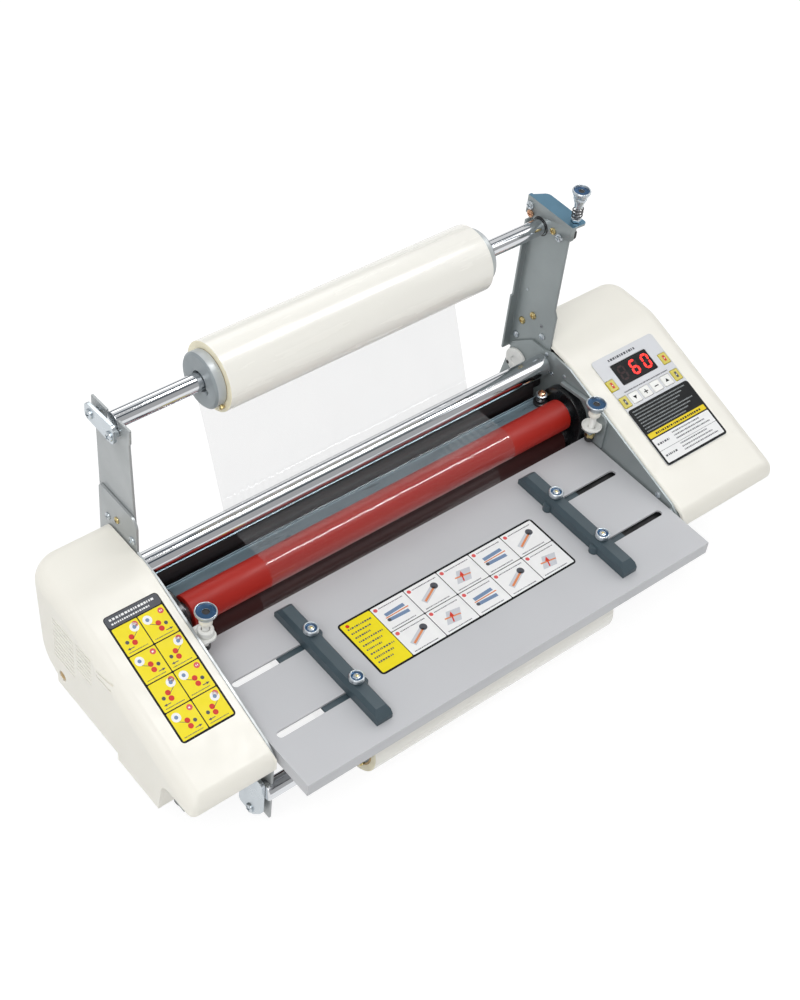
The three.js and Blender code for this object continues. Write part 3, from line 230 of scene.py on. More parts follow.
def ivory_plastic():
    surface = Surface("ivory_plastic", (242, 239, 229), 0.42)
    return surface.mottle(14, 0.01).polish(60, 0.36, 0.5).grain(2200, 0.25, 0.03).grain(90, 0.1, 0.06)


def frame_paint(name="frame_paint", rgb=(148, 156, 157)):
    surface = Surface(name, rgb, 0.42, 0.3)
    return surface.mottle(24, 0.04).polish(40, 0.34, 0.5).grain(1500, 0.2, 0.03).grain(160, 0.1, 0.04)


def table_paint():
    surface = Surface("table_paint", (196, 197, 200), 0.4)
    return surface.mottle(9, 0.02).polish(30, 0.34, 0.48).grain(1800, 0.35, 0.03)


def zinc_plate():
    surface = Surface("zinc_plate", (196, 203, 208), 0.32, 1)
    return surface.mottle(50, 0.03).polish(60, 0.26, 0.38).grain(500, 0.03, 0.01)


# Dark blue zinc for the clamp's top face: painted reflection, the blue that the zinc top shows.
def painted_reflection_zinc():
    surface = Surface("painted_reflection_zinc", (92, 126, 146), 0.36, 0.9)
    return surface.mottle(60, 0.05).polish(60, 0.3, 0.42).grain(500, 0.04, 0.01)


# Dark blue zinc for the knobs' sunken recesses: painted shade and blue reflection in the recess.
def recess_shade_reflection_zinc():
    surface = Surface("recess_shade_reflection_zinc", (52, 82, 114), 0.34, 0.8)
    return surface.mottle(60, 0.05).polish(60, 0.28, 0.4).grain(500, 0.04, 0.01)


def chrome_bar():
    surface = Surface("chrome_bar", (214, 216, 219), 0.08, 1, (0.06, 1, 1))
    return surface.mottle(300, 0.03).polish(500, 0.05, 0.12).grain(1500, 0.06, 0.01)


def polished_bar():
    surface = Surface("polished_bar", (208, 213, 220), 0.14, 1, (0.1, 1, 1))
    return surface.mottle(60, 0.03).polish(120, 0.1, 0.2).grain(900, 0.08, 0.01)


def gear_steel():
    surface = Surface("gear_steel", (148, 150, 154), 0.34, 1)
    return surface.mottle(80, 0.1).polish(200, 0.25, 0.45).grain(700, 0.2, 0.02)


def brass_screw():
    surface = Surface("brass_screw", (202, 184, 132), 0.28, 1)
    return surface.mottle(200, 0.08).polish(400, 0.2, 0.4).grain(1500, 0.1, 0.02)


def copper_screw():
    surface = Surface("copper_screw", (200, 158, 128), 0.3, 1)
    return surface.mottle(200, 0.08).polish(400, 0.2, 0.4).grain(1500, 0.1, 0.02)


def bearing_black():
    surface = Surface("bearing_black", (20, 21, 23), 0.26)
    return surface.mottle(50, 0.12).polish(70, 0.2, 0.34).grain(900, 0.12, 0.02)


def black_plastic():
    surface = Surface("black_plastic", (30, 30, 32), 0.42)
    return surface.mottle(50, 0.12).polish(90, 0.34, 0.52).grain(1300, 0.25, 0.03)


def white_plastic():
    surface = Surface("white_plastic", (236, 236, 232), 0.38)
    return surface.mottle(60, 0.015).polish(90, 0.3, 0.45).grain(1500, 0.15, 0.02)


def yellow_plastic():
    surface = Surface("yellow_plastic", (206, 190, 48), 0.38)
    return surface.mottle(90, 0.03).polish(120, 0.3, 0.45).grain(1500, 0.15, 0.02)


def slate_plastic():
    surface = Surface("slate_plastic", (62, 78, 86), 0.45)
    return surface.mottle(40, 0.08).polish(80, 0.36, 0.55).grain(1200, 0.35, 0.04)


def foot_rubber():
    surface = Surface("foot_rubber", (28, 28, 28), 0.85)
    return surface.mottle(80, 0.15).grain(900, 0.4, 0.05)


def label_film():
    surface = Surface("label_film", (208, 210, 214), 0.4)
    return surface.mottle(30, 0.01).polish(60, 0.35, 0.45).grain(2500, 0.12, 0.02)


def display_black():
    surface = Surface("display_black", (24, 14, 16), 0.12)
    return surface.mottle(80, 0.2).polish(100, 0.08, 0.18).grain(800, 0.03, 0.01)


def red_silicone():
    surface = Surface("red_silicone", (172, 31, 19), 0.5, 0, (0.2, 1, 1))
    surface.mottle(60, 0.06).polish(140, 0.42, 0.56).grain(800, 0.1, 0.02)
    return surface.set(Specular_IOR_Level=0.3)


# Darker copy of the red silicone for the lower roller: painted shade, where the roller lies in the machine's
# shadow.
def painted_shade_silicone():
    surface = Surface("painted_shade_silicone", (58, 19, 18), 0.55, 0, (0.2, 1, 1))
    surface.mottle(60, 0.08).polish(140, 0.46, 0.62).grain(800, 0.1, 0.02)
    return surface.set(Specular_IOR_Level=0.3)


def black_rubber():
    surface = Surface("black_rubber", (32, 26, 27), 0.55, 0, (0.3, 1, 1))
    return surface.mottle(60, 0.15).polish(90, 0.46, 0.64).grain(900, 0.2, 0.03)


def film_roll():
    surface = Surface("film_roll", (248, 246, 238), 0.3, 0, (0.12, 1, 1))
    surface.mottle(40, 0.008).polish(120, 0.18, 0.3).grain(160, 0.04, 0.02)
    return surface.set(Coat_Weight=0.15, Coat_Roughness=0.12)


FILM_FREE = (180, 192)  # between these two y the film leaves the roller and turns milkier


def clear_film():
    """Thin glossy film: nearly clear on the roller, milkier where it hangs free, under a sharp sheen."""
    surface = Surface("clear_film", (160, 160, 161), 0.3)
    surface.polish(40, 0.25, 0.35).grain(50, 0.03, 0.05)
    nodes, links = surface.nodes, surface.links
    angle = new_node(nodes, "LayerWeight", Blend=0.35).outputs["Facing"]
    parts = new_node(nodes, "SeparateXYZ")
    links.new(surface.place, parts.inputs[0])
    near, far = (at(0, y, 0).y for y in FILM_FREE)
    density = new_node(nodes, "Math")
    links.new(surface.spread(angle, 0.02, 0.28, 0, 1), density.inputs[0])
    links.new(surface.spread(parts.outputs["Y"], 0, 0.15, near, far), density.inputs[1])
    links.new(density.outputs[0], surface.shader.inputs["Alpha"])
    sheen = new_node(nodes, "BsdfGlossy", Roughness=0.06)
    show_mix(nodes, links, surface.spread(angle, 0.016, 0.12, 0, 1), surface.shader, sheen)
    return surface


def shield_steel():
    surface = Surface("shield_steel", (136, 156, 166), 0.32, 0.5, (0.15, 1, 1))
    return surface.mottle(120, 0.05).polish(160, 0.26, 0.4).grain(900, 0.1, 0.02)


def chuck_grey(name="chuck_grey", rgb=(146, 154, 158)):
    surface = Surface(name, rgb, 0.42, 0.15)
    return surface.mottle(60, 0.06).polish(90, 0.35, 0.5).grain(1000, 0.25, 0.03)


def paper_core():
    surface = Surface("paper_core", (196, 170, 128), 0.85)
    return surface.mottle(200, 0.1).grain(600, 0.4, 0.08)


def wound_edge(joint):
    """Cut film ends: fine rings about the roll's own axis."""
    y, z = axis_of(joint)
    surface = Surface("wound_edge_" + joint, (250, 242, 214), 0.5)
    spot = at(0, y, z)
    set_inputs(surface.place.node, Location=(0, -spot.y, -spot.z))
    wave = new_node(surface.nodes, "TexWave", Scale=900, Distortion=1.5)
    wave.wave_type = "RINGS"
    wave.rings_direction = "X"
    surface.links.new(surface.place, wave.inputs["Vector"])
    return surface.mottle(90, 0.05).relief(wave.outputs["Fac"], 0.3, 0.1)


INK_COLOURS = {
    "black": (17, 19, 21), "grey": (84, 86, 92), "pale": (206, 208, 214), "white": (244, 244, 244),
    "yellow": (245, 226, 36), "dim": (150, 155, 156), "amber": (240, 212, 34), "red": (214, 58, 44),
    "rose": (222, 96, 96), "orange": (226, 140, 92), "blue": (120, 144, 176), "lit": (255, 44, 38),
    "unlit": (52, 34, 36),
}
INK_ROUGHNESS = {"black": 0.5, "lit": 0.3}
LIT_STRENGTH = 1.6


def ink(name):
    """Printing ink. The display's lit segments also glow."""
    roughness = INK_ROUGHNESS.get(name, 0.42)
    surface = Surface("ink_" + name, INK_COLOURS[name], roughness)
    surface.mottle(120, 0.02).polish(150, roughness - 0.05, roughness + 0.05).grain(2500, 0.08, 0.01)
    if name == "lit":
        surface.set(Emission_Color=surface.rgba, Emission_Strength=LIT_STRENGTH)
    return surface.set(Specular_IOR_Level=0.12)


PAINT = {
    maker.__name__: maker().material
    for maker in (
        ivory_plastic, frame_paint, table_paint, zinc_plate, painted_reflection_zinc, recess_shade_reflection_zinc, chrome_bar, polished_bar,
        gear_steel, brass_screw, copper_screw, bearing_black, black_plastic, white_plastic, yellow_plastic,
        slate_plastic, foot_rubber, label_film, display_black, red_silicone, painted_shade_silicone, black_rubber,
        film_roll, clear_film, shield_steel, chuck_grey, paper_core,
    )
}
IVORY, WHITE, BLACK = PAINT["ivory_plastic"], PAINT["white_plastic"], PAINT["black_plastic"]
ZINC, RECESS_SHADE_REFLECTION_ZINC, STEEL = PAINT["zinc_plate"], PAINT["recess_shade_reflection_zinc"], PAINT["gear_steel"]
BRASS, COPPER = PAINT["brass_screw"], PAINT["copper_screw"]
CORE, SHIELD = PAINT["paper_core"], PAINT["shield_steel"]
# A lighter copy of the frame paint for the left upright and side frame: painted light, brighter than the same
# paint on the right.
LIT_FRAME_PAINT = frame_paint("painted_light_frame_paint", (170, 174, 175)).material
# Lighter grey for the chucks' outer rims: painted highlight, where the round face catches the light.
CHUCK_RIM_HIGHLIGHT = chuck_grey("chuck_rim_painted_highlight", (186, 191, 193)).material
INK = {name: ink(name).material for name in INK_COLOURS}


# ---------- Pieces ----------
WIRE_SIDES = 10
FILLET_STEPS = 3
NEARLY_STRAIGHT = math.radians(80)  # half of a corner's angle above which it isn't rounded
FILLET_SHARE = 0.45  # the part of a side that a fillet may take up


def smooth(mesh, degrees):
    mesh.polygons.foreach_set("use_smooth", [True] * len(mesh.polygons))
    mesh.set_sharp_from_angle(angle=math.radians(degrees))


def make_object(name, bm, materials, degrees=35):
    """Turns a bmesh in millimetres into a scene object."""
    bmesh.ops.recalc_face_normals(bm, faces=bm.faces)
    mesh = bpy.data.meshes.new(name)
    bm.to_mesh(mesh)
    bm.free()
    mesh.transform(Matrix.Translation(ORIGIN) @ Matrix.Scale(MM, 4))
    for material in materials:
        mesh.materials.append(material)
    smooth(mesh, degrees)
    made = bpy.data.objects.new(name, mesh)
    bpy.context.scene.collection.objects.link(made)
    return made


def settle(piece, body="machine"):
    """The piece rides on its body."""
    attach(piece, body)
    return piece


def body_of(node):
    return NODES[node]["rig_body"]


def stand_in(piece, node):
    """The piece is shown instead of the CAD node."""
    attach(piece, body_of(node))
    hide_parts(node)
    return piece


def fillet(points, radius):
    """An open or closed polyline with its corners rounded, apart from those on a lathe's axis."""
    closed = (Vector(points[0]) - Vector(points[-1])).length < 1e-6
    ring = [Vector(point) for point in (points[:-1] if closed else points)]
    rounded = []
    for i, corner in enumerate(ring):
        if not closed and i in (0, len(ring) - 1):
            rounded.append(corner)
            continue
        before, after = ring[i - 1] - corner, ring[(i + 1) % len(ring)] - corner
        half = before.angle(after) / 2
        if half > NEARLY_STRAIGHT or corner[0] < 1e-6:
            rounded.append(corner)
            continue
        longest = FILLET_SHARE * min(before.length, after.length)
        reach = min(radius / math.tan(half), longest)
        start, end = corner + before.normalized() * reach, corner + after.normalized() * reach
        for k in range(FILLET_STEPS + 1):
            t = k / FILLET_STEPS
            rounded.append(start * (1 - t) ** 2 + corner * 2 * t * (1 - t) + end * t ** 2)
    if closed:
        rounded.append(rounded[0].copy())
    return rounded


def lathe(bm, axis, centre, profile, steps, radius, index=0):
    """Adds a body turned about an axis through the centre. The profile lists (radius, along)."""
    points = fillet([Vector(point) for point in profile], radius)
    closed = (points[0] - points[-1]).length < 1e-6
    if closed:
        points.pop()
    centre = Vector(centre)
    along, side, up = (X_AXIS, Y_AXIS, Z_AXIS) if axis == "X" else (Z_AXIS, X_AXIS, Y_AXIS)
    rings = []
    for r, distance in points:
        middle = centre + along * distance
        turns = [2 * math.pi * k / steps for k in range(steps if r > 1e-6 else 1)]
        rings.append([bm.verts.new(middle + (side * math.cos(a) + up * math.sin(a)) * r) for a in turns])
    pairs = list(zip(rings, rings[1:])) + ([(rings[-1], rings[0])] if closed else [])
    for a, b in pairs:
        for k in range(steps):
            n = (k + 1) % steps
            corners = [a[k % len(a)], a[n % len(a)], b[n % len(b)], b[k % len(b)]]
            unique = list(dict.fromkeys(corners))
            if len(unique) > 2:
                bm.faces.new(unique).material_index = index


def turned(name, axis, centre, profile, material, steps, radius):
    bm = bmesh.new()
    lathe(bm, axis, centre, profile, steps, radius)
    return make_object(name, bm, [material])


def post(name, x, y, profile, material, steps, radius, body="machine"):
    """A small piece turned about an upright axis."""
    return settle(turned(name, "Z", (x, y, 0), profile, material, steps, radius), body)


def prism(bm, loop, offset, index=0):
    """Adds a closed prism: the loop of points and its copy moved by the offset."""
    low = [bm.verts.new(Vector(point)) for point in loop]
    high = [bm.verts.new(Vector(point) + Vector(offset)) for point in loop]
    faces = [bm.faces.new(list(reversed(low))), bm.faces.new(high)]
    for i in range(len(loop)):
        j = (i + 1) % len(loop)
        faces.append(bm.faces.new([low[i], low[j], high[j], high[i]]))
    for face in faces:
        face.material_index = index


def ring_profile(inner, outer, low, high):
    """Profile of a plain ring, for lathe()."""
    return [(inner, low), (outer, low), (outer, high), (inner, high), (inner, low)]


def bar(name, loop, offset, material, rounding, body="machine"):
    """A prism piece with softened edges."""
    bm = bmesh.new()
    prism(bm, loop, offset)
    return settle(soften(make_object(name, bm, [material]), rounding), body)


def cutter(loop, offset):
    """A prism that is only used to cut."""
    bm = bmesh.new()
    prism(bm, loop, offset)
    return make_object("tool", bm, [])


def tube(bm, path, radius):
    """Adds a round wire with flat ends along the path."""
    turns = [2 * math.pi * k / WIRE_SIDES for k in range(WIRE_SIDES)]
    rings = []
    for i, point in enumerate(path):
        ahead = (path[min(i + 1, len(path) - 1)] - path[max(i - 1, 0)]).normalized()
        side = ahead.cross(Z_AXIS if abs(ahead.z) < 0.9 else X_AXIS).normalized()
        up = ahead.cross(side)
        rings.append([bm.verts.new(point + (side * math.cos(a) + up * math.sin(a)) * radius) for a in turns])
    for a, b in zip(rings, rings[1:]):
        for k in range(WIRE_SIDES):
            n = (k + 1) % WIRE_SIDES
            bm.faces.new([a[k], a[n], b[n], b[k]])
    bm.faces.new(rings[0])
    bm.faces.new(rings[-1])


def finished(piece):
    """Applies the piece's modifiers to its mesh."""
    evaluated = piece.evaluated_get(bpy.context.evaluated_depsgraph_get())
    mesh = bpy.data.meshes.new_from_object(evaluated)
    piece.modifiers.clear()
    piece.data = mesh
    return piece


def soften(piece, width, segments=2, degrees=40):
    """Rounds the piece's hard edges a little, as paint and moulding do."""
    bevel = piece.modifiers.new("edges", "BEVEL")
    bevel.width = width * MM
    bevel.segments = segments
    bevel.limit_method = "ANGLE"
    bevel.angle_limit = math.radians(degrees)
    bevel.use_clamp_overlap = True
    normals = piece.modifiers.new("normals", "WEIGHTED_NORMAL")
    normals.keep_sharp = True
    return finished(piece)


def softened_copy(node, material=None, width=0.35):
    """A copy of a sheet or block node with merged flats and softened edges."""
    bm = bmesh.new()
    bm.from_mesh(NODES[node].data)
    bmesh.ops.remove_doubles(bm, verts=bm.verts, dist=2e-6)
    bmesh.ops.dissolve_limit(bm, angle_limit=math.radians(0.6), verts=bm.verts, edges=bm.edges)
    bm.transform(Matrix.Scale(1 / MM, 4) @ Matrix.Translation(-ORIGIN))
    return soften(make_object(node + "_body", bm, [material or PAINT[SLOTS[node]]]), width)


def refined(node, material=None, width=0.35):
    """The softened copy, shown instead of the node."""
    return stand_in(softened_copy(node, material, width), node)


def cut_away(piece, tools):
    """Subtracts each tool from the piece and removes the tools."""
    for tool in tools:
        boolean = piece.modifiers.new("cut", "BOOLEAN")
        boolean.operation = "DIFFERENCE"
        boolean.solver = "EXACT"
        boolean.object = tool
    finished(piece)
    for tool in tools:
        bpy.data.objects.remove(tool)
    return piece


def box_loop(x0, x1, y0, y1, z):
    return [(x0, y0, z), (x1, y0, z), (x1, y1, z), (x0, y1, z)]


def block_tool(x0, x1, y0, y1, z0, z1):
    return cutter(box_loop(x0, x1, y0, y1, z0), (0, 0, z1 - z0))


# ---------- Covers ----------
SKIRT = -110  # the covers' blocks reach down to here before their lower rim is cut
LEAN = 12  # how far the back wall leans
BEND_RADIUS = 60
NOSE_RADIUS = 9
UPRIGHT_EDGE = 20  # an edge that climbs more than this is an upright corner
ROUNDING_STEPS = 8
COVERS = {
    "left": {"side": -1, "outer": -LEFT_LOW.x, "edge": 12, "front": 5.5, "back": 25, "inner_edge": 1},
    "right": {"side": 1, "outer": RIGHT_HIGH.x, "edge": 14, "front": 12, "back": 18, "inner_edge": 2.4},
}
# Lower rim: heights of the nose, the leg, the step behind it and the back, and the y at which each one
# gives way to the next.
RIM = {
    "nose": -11, "leg": -47.5, "step": -40, "back": -15, "fillet": 12,
    "leg_front": 68, "leg_back": 123, "step_back": 203, "back_front": 224,
}
LEG_WALL_REACH = 42
# Front, back, bottom and top of each group of louvres.
LOUVRES = {
    "groups": [(178, 205, -10, 34), (155, 174, 5, 37), (130, 148, 24, 33)],
    "pitch": 4.4, "height": 1.3,
}
BOSS = {"y": 196, "z": -27, "radius": 4.4, "depth": 1.6}
KEYS = [node for node in NODES if node.startswith("key_")]
BOARD_DEPTH = -6.4  # the display board's face, measured out from the slope


def slope_point(x, s, height):
    return SLOPE_FOOT + X_AXIS * x + SLOPE_UP * s + SLOPE_OUT * height


def up_slope(y):
    """How far up the slope the given y lies."""
    return y / math.cos(SLOPE_ANGLE)


def slope_area(node, above=-1000):
    """Left, right, bottom and top of a node's points that stand higher out of the slope than the limit."""
    spots = [local(vertex.co) for vertex in NODES[node].data.vertices]
    spots = [spot for spot in spots if (spot - SLOPE_FOOT).dot(SLOPE_OUT) > above]
    along = [(spot - SLOPE_FOOT).dot(SLOPE_UP) for spot in spots]
    return min(s.x for s in spots), max(s.x for s in spots), min(along), max(along)


def display_area():
    """The display window: the part of the board node that stands above the board."""
    return slope_area("display_board", BOARD_DEPTH + 1)


def cover_profile(wall):
    """Side outline of a cover, moved inwards by the wall, with the bend as an arc."""
    top, front, back = COVER_TOP - wall, COVER_FRONT + wall, COVER_BACK - wall
    drop = wall / math.cos(SLOPE_ANGLE)
    bend = (top - SLOPE_START + drop) / SLOPE
    reach = BEND_RADIUS * math.tan(SLOPE_ANGLE / 2)
    low = SKIRT - 2 * wall
    points = [(front, low), (back - LEAN, low), (back, top)]
    for k in range(7):
        angle = SLOPE_ANGLE * k / 6
        y = bend + reach - BEND_RADIUS * math.sin(angle)
        points.append((y, top - BEND_RADIUS * (1 - math.cos(angle))))
    points.append((front, SLOPE_START + SLOPE * front - drop))
    return points


def weighted_bevel(piece, widths):
    """Rounds each edge of the piece by its own width, in millimetres."""
    widest = max(widths.values())
    layer = piece.data.attributes.new("bevel_weight_edge", "FLOAT", "EDGE")
    for index, width in widths.items():
        layer.data[index].value = width / widest
    bevel = piece.modifiers.new("round", "BEVEL")
    bevel.limit_method = "WEIGHT"
    bevel.width = widest * MM
    bevel.segments = ROUNDING_STEPS
    bevel.use_clamp_overlap = False
    return finished(piece)


def climbs(edge):
    return abs(edge.verts[0].co.z - edge.verts[1].co.z) > UPRIGHT_EDGE


def rim_widths(bm, start, outer, wall, spec):
    """How far each edge of a cover's block is rounded: the front corner, the upper rim and the inner edge."""
    widths = {}
    for edge in bm.edges:
        spots = [vert.co for vert in edge.verts]
        tops = [face for face in edge.link_faces if face.normal.z > 0.5]
        walls = [face for face in edge.link_faces if abs(face.normal.z) < 0.45]
        on_outside = all(abs(spot.x) > outer - wall - 0.01 for spot in spots)
        on_inside = all(abs(abs(spot.x) - start) < 0.01 for spot in spots)
        if on_inside:
            if wall == 0 and (tops or (climbs(edge) and spots[0].y < 100)):
                widths[edge.index] = spec["inner_edge"]
        elif on_outside and climbs(edge) and len(walls) == 2 and max(spot.y for spot in spots) < 100:
            widths[edge.index] = spec["front"] - wall
        elif tops and walls:
            nose = walls[0].normal.y < -0.7
            widths[edge.index] = (NOSE_RADIUS if nose else spec["edge"]) - wall
    return widths


def cover_solid(name, wall, spec):
    """A rounded solid block with the cover's outer or inner shape."""
    side, outer = spec["side"], spec["outer"]
    start = COVER_INNER - 4 * wall
    bm = bmesh.new()
    prism(bm, [(side * start, y, z) for y, z in cover_profile(wall)], (side * (outer - wall - start), 0, 0))
    bmesh.ops.recalc_face_normals(bm, faces=bm.faces)
    rear = [
        edge for edge in bm.edges
        if climbs(edge)
        and all(abs(vert.co.x) > outer - wall - 0.01 and vert.co.y > 200 for vert in edge.verts)
    ]
    bmesh.ops.bevel(bm, geom=rear, offset=spec["back"] - wall, segments=12, profile=0.5, affect="EDGES",
                    offset_type="OFFSET", clamp_overlap=False)
    bm.normal_update()
    bm.edges.index_update()
    widths = rim_widths(bm, start, outer, wall, spec)
    return weighted_bevel(make_object(name, bm, [IVORY], 30), widths)


def leg_front(inset=0.0):
    """Outline of the leg's front, from its foot up and round the fillet to the nose's underside."""
    radius, reach = RIM["fillet"], RIM["fillet"] + inset
    middle = (RIM["leg_front"] - radius, RIM["nose"] - radius)
    turns = [math.pi / 2 * k / 14 for k in range(15)]
    arc = [(middle[0] + reach * math.cos(a), middle[1] + reach * math.sin(a)) for a in turns]
    return [(RIM["leg_front"] + 3 + inset, RIM["leg"]), *arc]


def below_rim(side):
    """Everything under the covers' lower rim, with the rounded step between the nose and the leg."""
    front, back, bottom = COVER_FRONT - 10, COVER_BACK + 10, SKIRT - 10
    step_back, back_front = RIM["step_back"], RIM["back_front"]
    loop = [
        (front, RIM["nose"]), (front, bottom), (back, bottom), (back, RIM["back"]), (back_front, RIM["back"]),
        ((step_back + back_front) / 2, RIM["back"] - 11), (step_back, RIM["step"] + 8),
        (step_back, RIM["step"]), (RIM["leg_back"], RIM["step"]), (RIM["leg_back"], RIM["leg"]),
        *leg_front(),
    ]
    return cutter([(side * (COVER_INNER - 20), y, z) for y, z in loop], (side * 200, 0, 0))


def louvre_tools():
    """One block for each slot of the left cover's three groups of louvres."""
    tools = []
    outer = LEFT_LOW.x
    for front, back, bottom, top in LOUVRES["groups"]:
        z = bottom
        while z + LOUVRES["height"] <= top:
            tools.append(block_tool(outer - 1, outer + SHELL + 1, front, back, z, z + LOUVRES["height"]))
            z += LOUVRES["pitch"]
    return tools


def boss_recess():
    """A shallow round pocket for the screw boss, low on the left cover's outer wall."""
    outer = LEFT_LOW.x
    profile = [(0, outer - 1), (BOSS["radius"], outer - 1), (BOSS["radius"], outer + BOSS["depth"]),
               (0, outer + BOSS["depth"])]
    return turned("tool", "X", (0, BOSS["y"], BOSS["z"]), profile, IVORY, 48, 0.01)


def slope_tool(x0, x1, s0, s1):
    """A cutter through the cover's slope, with s measured up the slope from y = 0."""
    loop = [slope_point(x, s, -20) for x, s in ((x0, s0), (x1, s0), (x1, s1), (x0, s1))]
    return cutter(loop, slope_point(0, 0, 5) - slope_point(0, 0, -20))


def cover_tools(name):
    """The openings of a cover: louvres and boss pocket, or inlet, upright's notch, keys and display."""
    if name == "left":
        return [*louvre_tools(), boss_recess()]
    low, high = node_box("power_inlet")
    up_low, up_high = node_box("right_upright")
    inlet = block_tool(low.x - GAP, high.x + GAP, high.y - 20, high.y + 5, low.z - GAP, high.z + GAP)
    notch = block_tool(COVER_INNER - 1, up_high.x + GAP, up_low.y - GAP, up_high.y + GAP, up_low.z - GAP, 100)
    areas = [slope_area(key) for key in KEYS] + [display_area()]
    return [inlet, notch, *(slope_tool(x0 - GAP, x1 + GAP, s0 - GAP, s1 + GAP) for x0, x1, s0, s1 in areas)]


def cover(name):
    spec = COVERS[name]
    shell = cover_solid(name + "_cover_shell", 0, spec)
    hollow = cover_solid("tool", SHELL, spec)
    cut_away(shell, [hollow, below_rim(spec["side"])])
    cut_away(shell, cover_tools(name))
    smooth(shell.data, 30)
    stand_in(soften(shell, 0.5, 2, 50), name + "_cover")


def leg_wall():
    """The front wall of the left cover's leg: its sheet turned inwards along the leg and its fillet."""
    loop = leg_front(0.02) + leg_front(SHELL)[::-1]
    bm = bmesh.new()
    prism(bm, [(LEFT_LOW.x + SHELL + 0.02, y, z) for y, z in loop], (LEG_WALL_REACH, 0, 0))
    settle(soften(make_object("left_cover_leg_wall", bm, [IVORY], 30), 0.3))


def cover_boss():
    """Tan screw boss in its pocket in the left cover's outer wall."""
    radius = BOSS["radius"] - 0.5
    floor_x, face = LEFT_LOW.x + BOSS["depth"], LEFT_LOW.x + GAP
    profile = [
        (0, floor_x), (radius, floor_x), (radius, face + 0.4), (radius - 0.6, face), (radius - 1.8, face),
        (radius - 2, face + 0.8), (0, face + 0.8),
    ]
    piece = turned("left_cover_boss", "X", (0, BOSS["y"], BOSS["z"]), profile, CORE, 48, 0.2)
    settle(piece)


# ---------- Screws ----------
def aimed(piece, spot, direction, spin=0.0):
    """Moves a piece made about Z at the origin, so that it starts at the spot and points that way."""
    turn = Vector(direction).to_track_quat("Z", "Y").to_matrix().to_4x4() @ Matrix.Rotation(spin, 4, "Z")
    piece.data.transform(Matrix.Translation(at(*spot)) @ turn @ Matrix.Translation(-ORIGIN))
    return piece


def screw(name, spot, direction, radius, material):
    """A pan head with a cross recess."""
    bm = bmesh.new()
    height = 0.55 * radius
    turns = [0.31 * k for k in range(5)]
    dome = [(radius * math.cos(a), height * (0.35 + 0.65 * math.sin(a))) for a in turns]
    lathe(bm, "Z", (0, 0, 0), [(0, -0.4), (radius, -0.4), *dome, (0, height)], 32, 0.01)
    head = make_object(name, bm, [material])
    arm, width = 0.62 * radius, 0.13 * radius
    cut_away(head, [block_tool(-arm, arm, -width, width, 0.4 * height, 2 * height)])
    cut_away(head, [block_tool(-width, width, -arm, arm, 0.4 * height, 2 * height)])
    aimed(head, spot, direction, 0.5 + 1.7 * spot[1])
    smooth(head.data, 40)
    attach(head, "machine")


def frame_screws():
    """Heads on the side frames, the right upright and the clamp: x, y, z, radius and material of each."""
    inner, upright, clamp = FRAME_INNER, COVER_INNER, node_box("clamp_bracket")[0].x
    spots = [
        (upright, 241, 57, 3.4, BRASS), (upright, 230, 69.7, 3.4, BRASS), (upright, 245, 38.7, 3.2, ZINC),
        (upright, 216, 56.8, 3.2, ZINC), (upright, 241.5, 90, 1.2, ZINC), (upright, 219, 66, 1.5, STEEL),
        (clamp, 251, 172.2, 3.8, ZINC), (clamp, 249.3, 165, 3.4, COPPER),
        (clamp, 222.4, 164.8, 3.0, BRASS), (clamp, 215.1, 163, 3.6, ZINC),
        (inner, 60, 2, 3.0, ZINC), (inner, 44, -3, 2.8, ZINC), (inner, 195.5, 31.8, 1.8, ZINC),
        (inner, 182, 38.7, 1.8, ZINC), (inner, 205, 46.5, 2.0, ZINC),
        (-FRAME_OUTER, 243, 60, 3.0, ZINC), (-FRAME_OUTER, 231, 66, 2.8, BRASS),
        (-FRAME_OUTER, 211, 62, 3.6, ZINC),
    ]
    for i, (x, y, z, radius, material) in enumerate(spots):
        screw(f"frame_screw_{i + 1}", (x, y, z), LEFTWARDS, radius, material)


def rear_screws():
    """Pan heads along the rear cover and on the base pan's side walls."""
    low, high = node_box("rear_cover")
    spread = 0.88 * high.x
    for i in range(4):
        x = -spread + 2 * spread * i / 3
        for row, z in (("top", high.z - 9), ("bottom", low.z + 9)):
            screw(f"rear_screw_{row}_{i + 1}", (x, high.y, z), BACKWARDS, 2.8, ZINC)
    low, high = node_box("base_pan")
    for side, face, out in (("left", low.x, -1), ("right", high.x, 1)):
        for i, y in enumerate((low.y + 30, high.y - 30)):
            screw(f"pan_screw_{side}_{i + 1}", (face, y, low.z + 20), (out, 0, 0), 2.6, ZINC)


# ---------- Rollers, bars and film rolls ----------
# The lower roller wears the darker copy of the red silicone: painted shade.
SILICONE = {"upper": PAINT["red_silicone"], "lower": PAINT["painted_shade_silicone"]}
ROLLER_BORE = 7.9
IDLER_NECK, IDLER_PIVOT = 6, 4
IDLER_PLAY = 2.6  # from the idler's long face to the side frame
CHUCK_LENGTH, CHUCK_EDGE, CHUCK_PLUG, CHUCK_PLUG_RADIUS, CHUCK_PLAY = 9, 1.6, 22, 19.6, 1.3
NOTCH_TURN, NOTCH_DEPTH, NOTCH_HALF = math.radians(200), 3.6, 2.3
SET_SCREW_TURN = math.radians(211)
SET_SCREW = [(0, -2), (1.5, -2), (1.5, 1.2), (2.3, 1.4), (2.3, 3), (1.2, 3), (1.2, 2.2), (0, 2.2)]
CORE_BORE, WOUND_BORE = 19.9, 21.6
SUPPLIES = {"upper": {"shaft": 7, "flange": 22}, "lower": {"shaft": 7.5, "flange": 17}}


def roller_sleeve(level):
    node = level + "_roller_sleeve"
    y, z = axis_of(level + "_roller_spin")
    low, high = node_box(node)
    profile = ring_profile(ROLLER_BORE, (high.z - low.z) / 2, low.x, high.x)
    stand_in(turned(node + "_skin", "X", (0, y, z), profile, SILICONE[level], 128, 0.8), node)


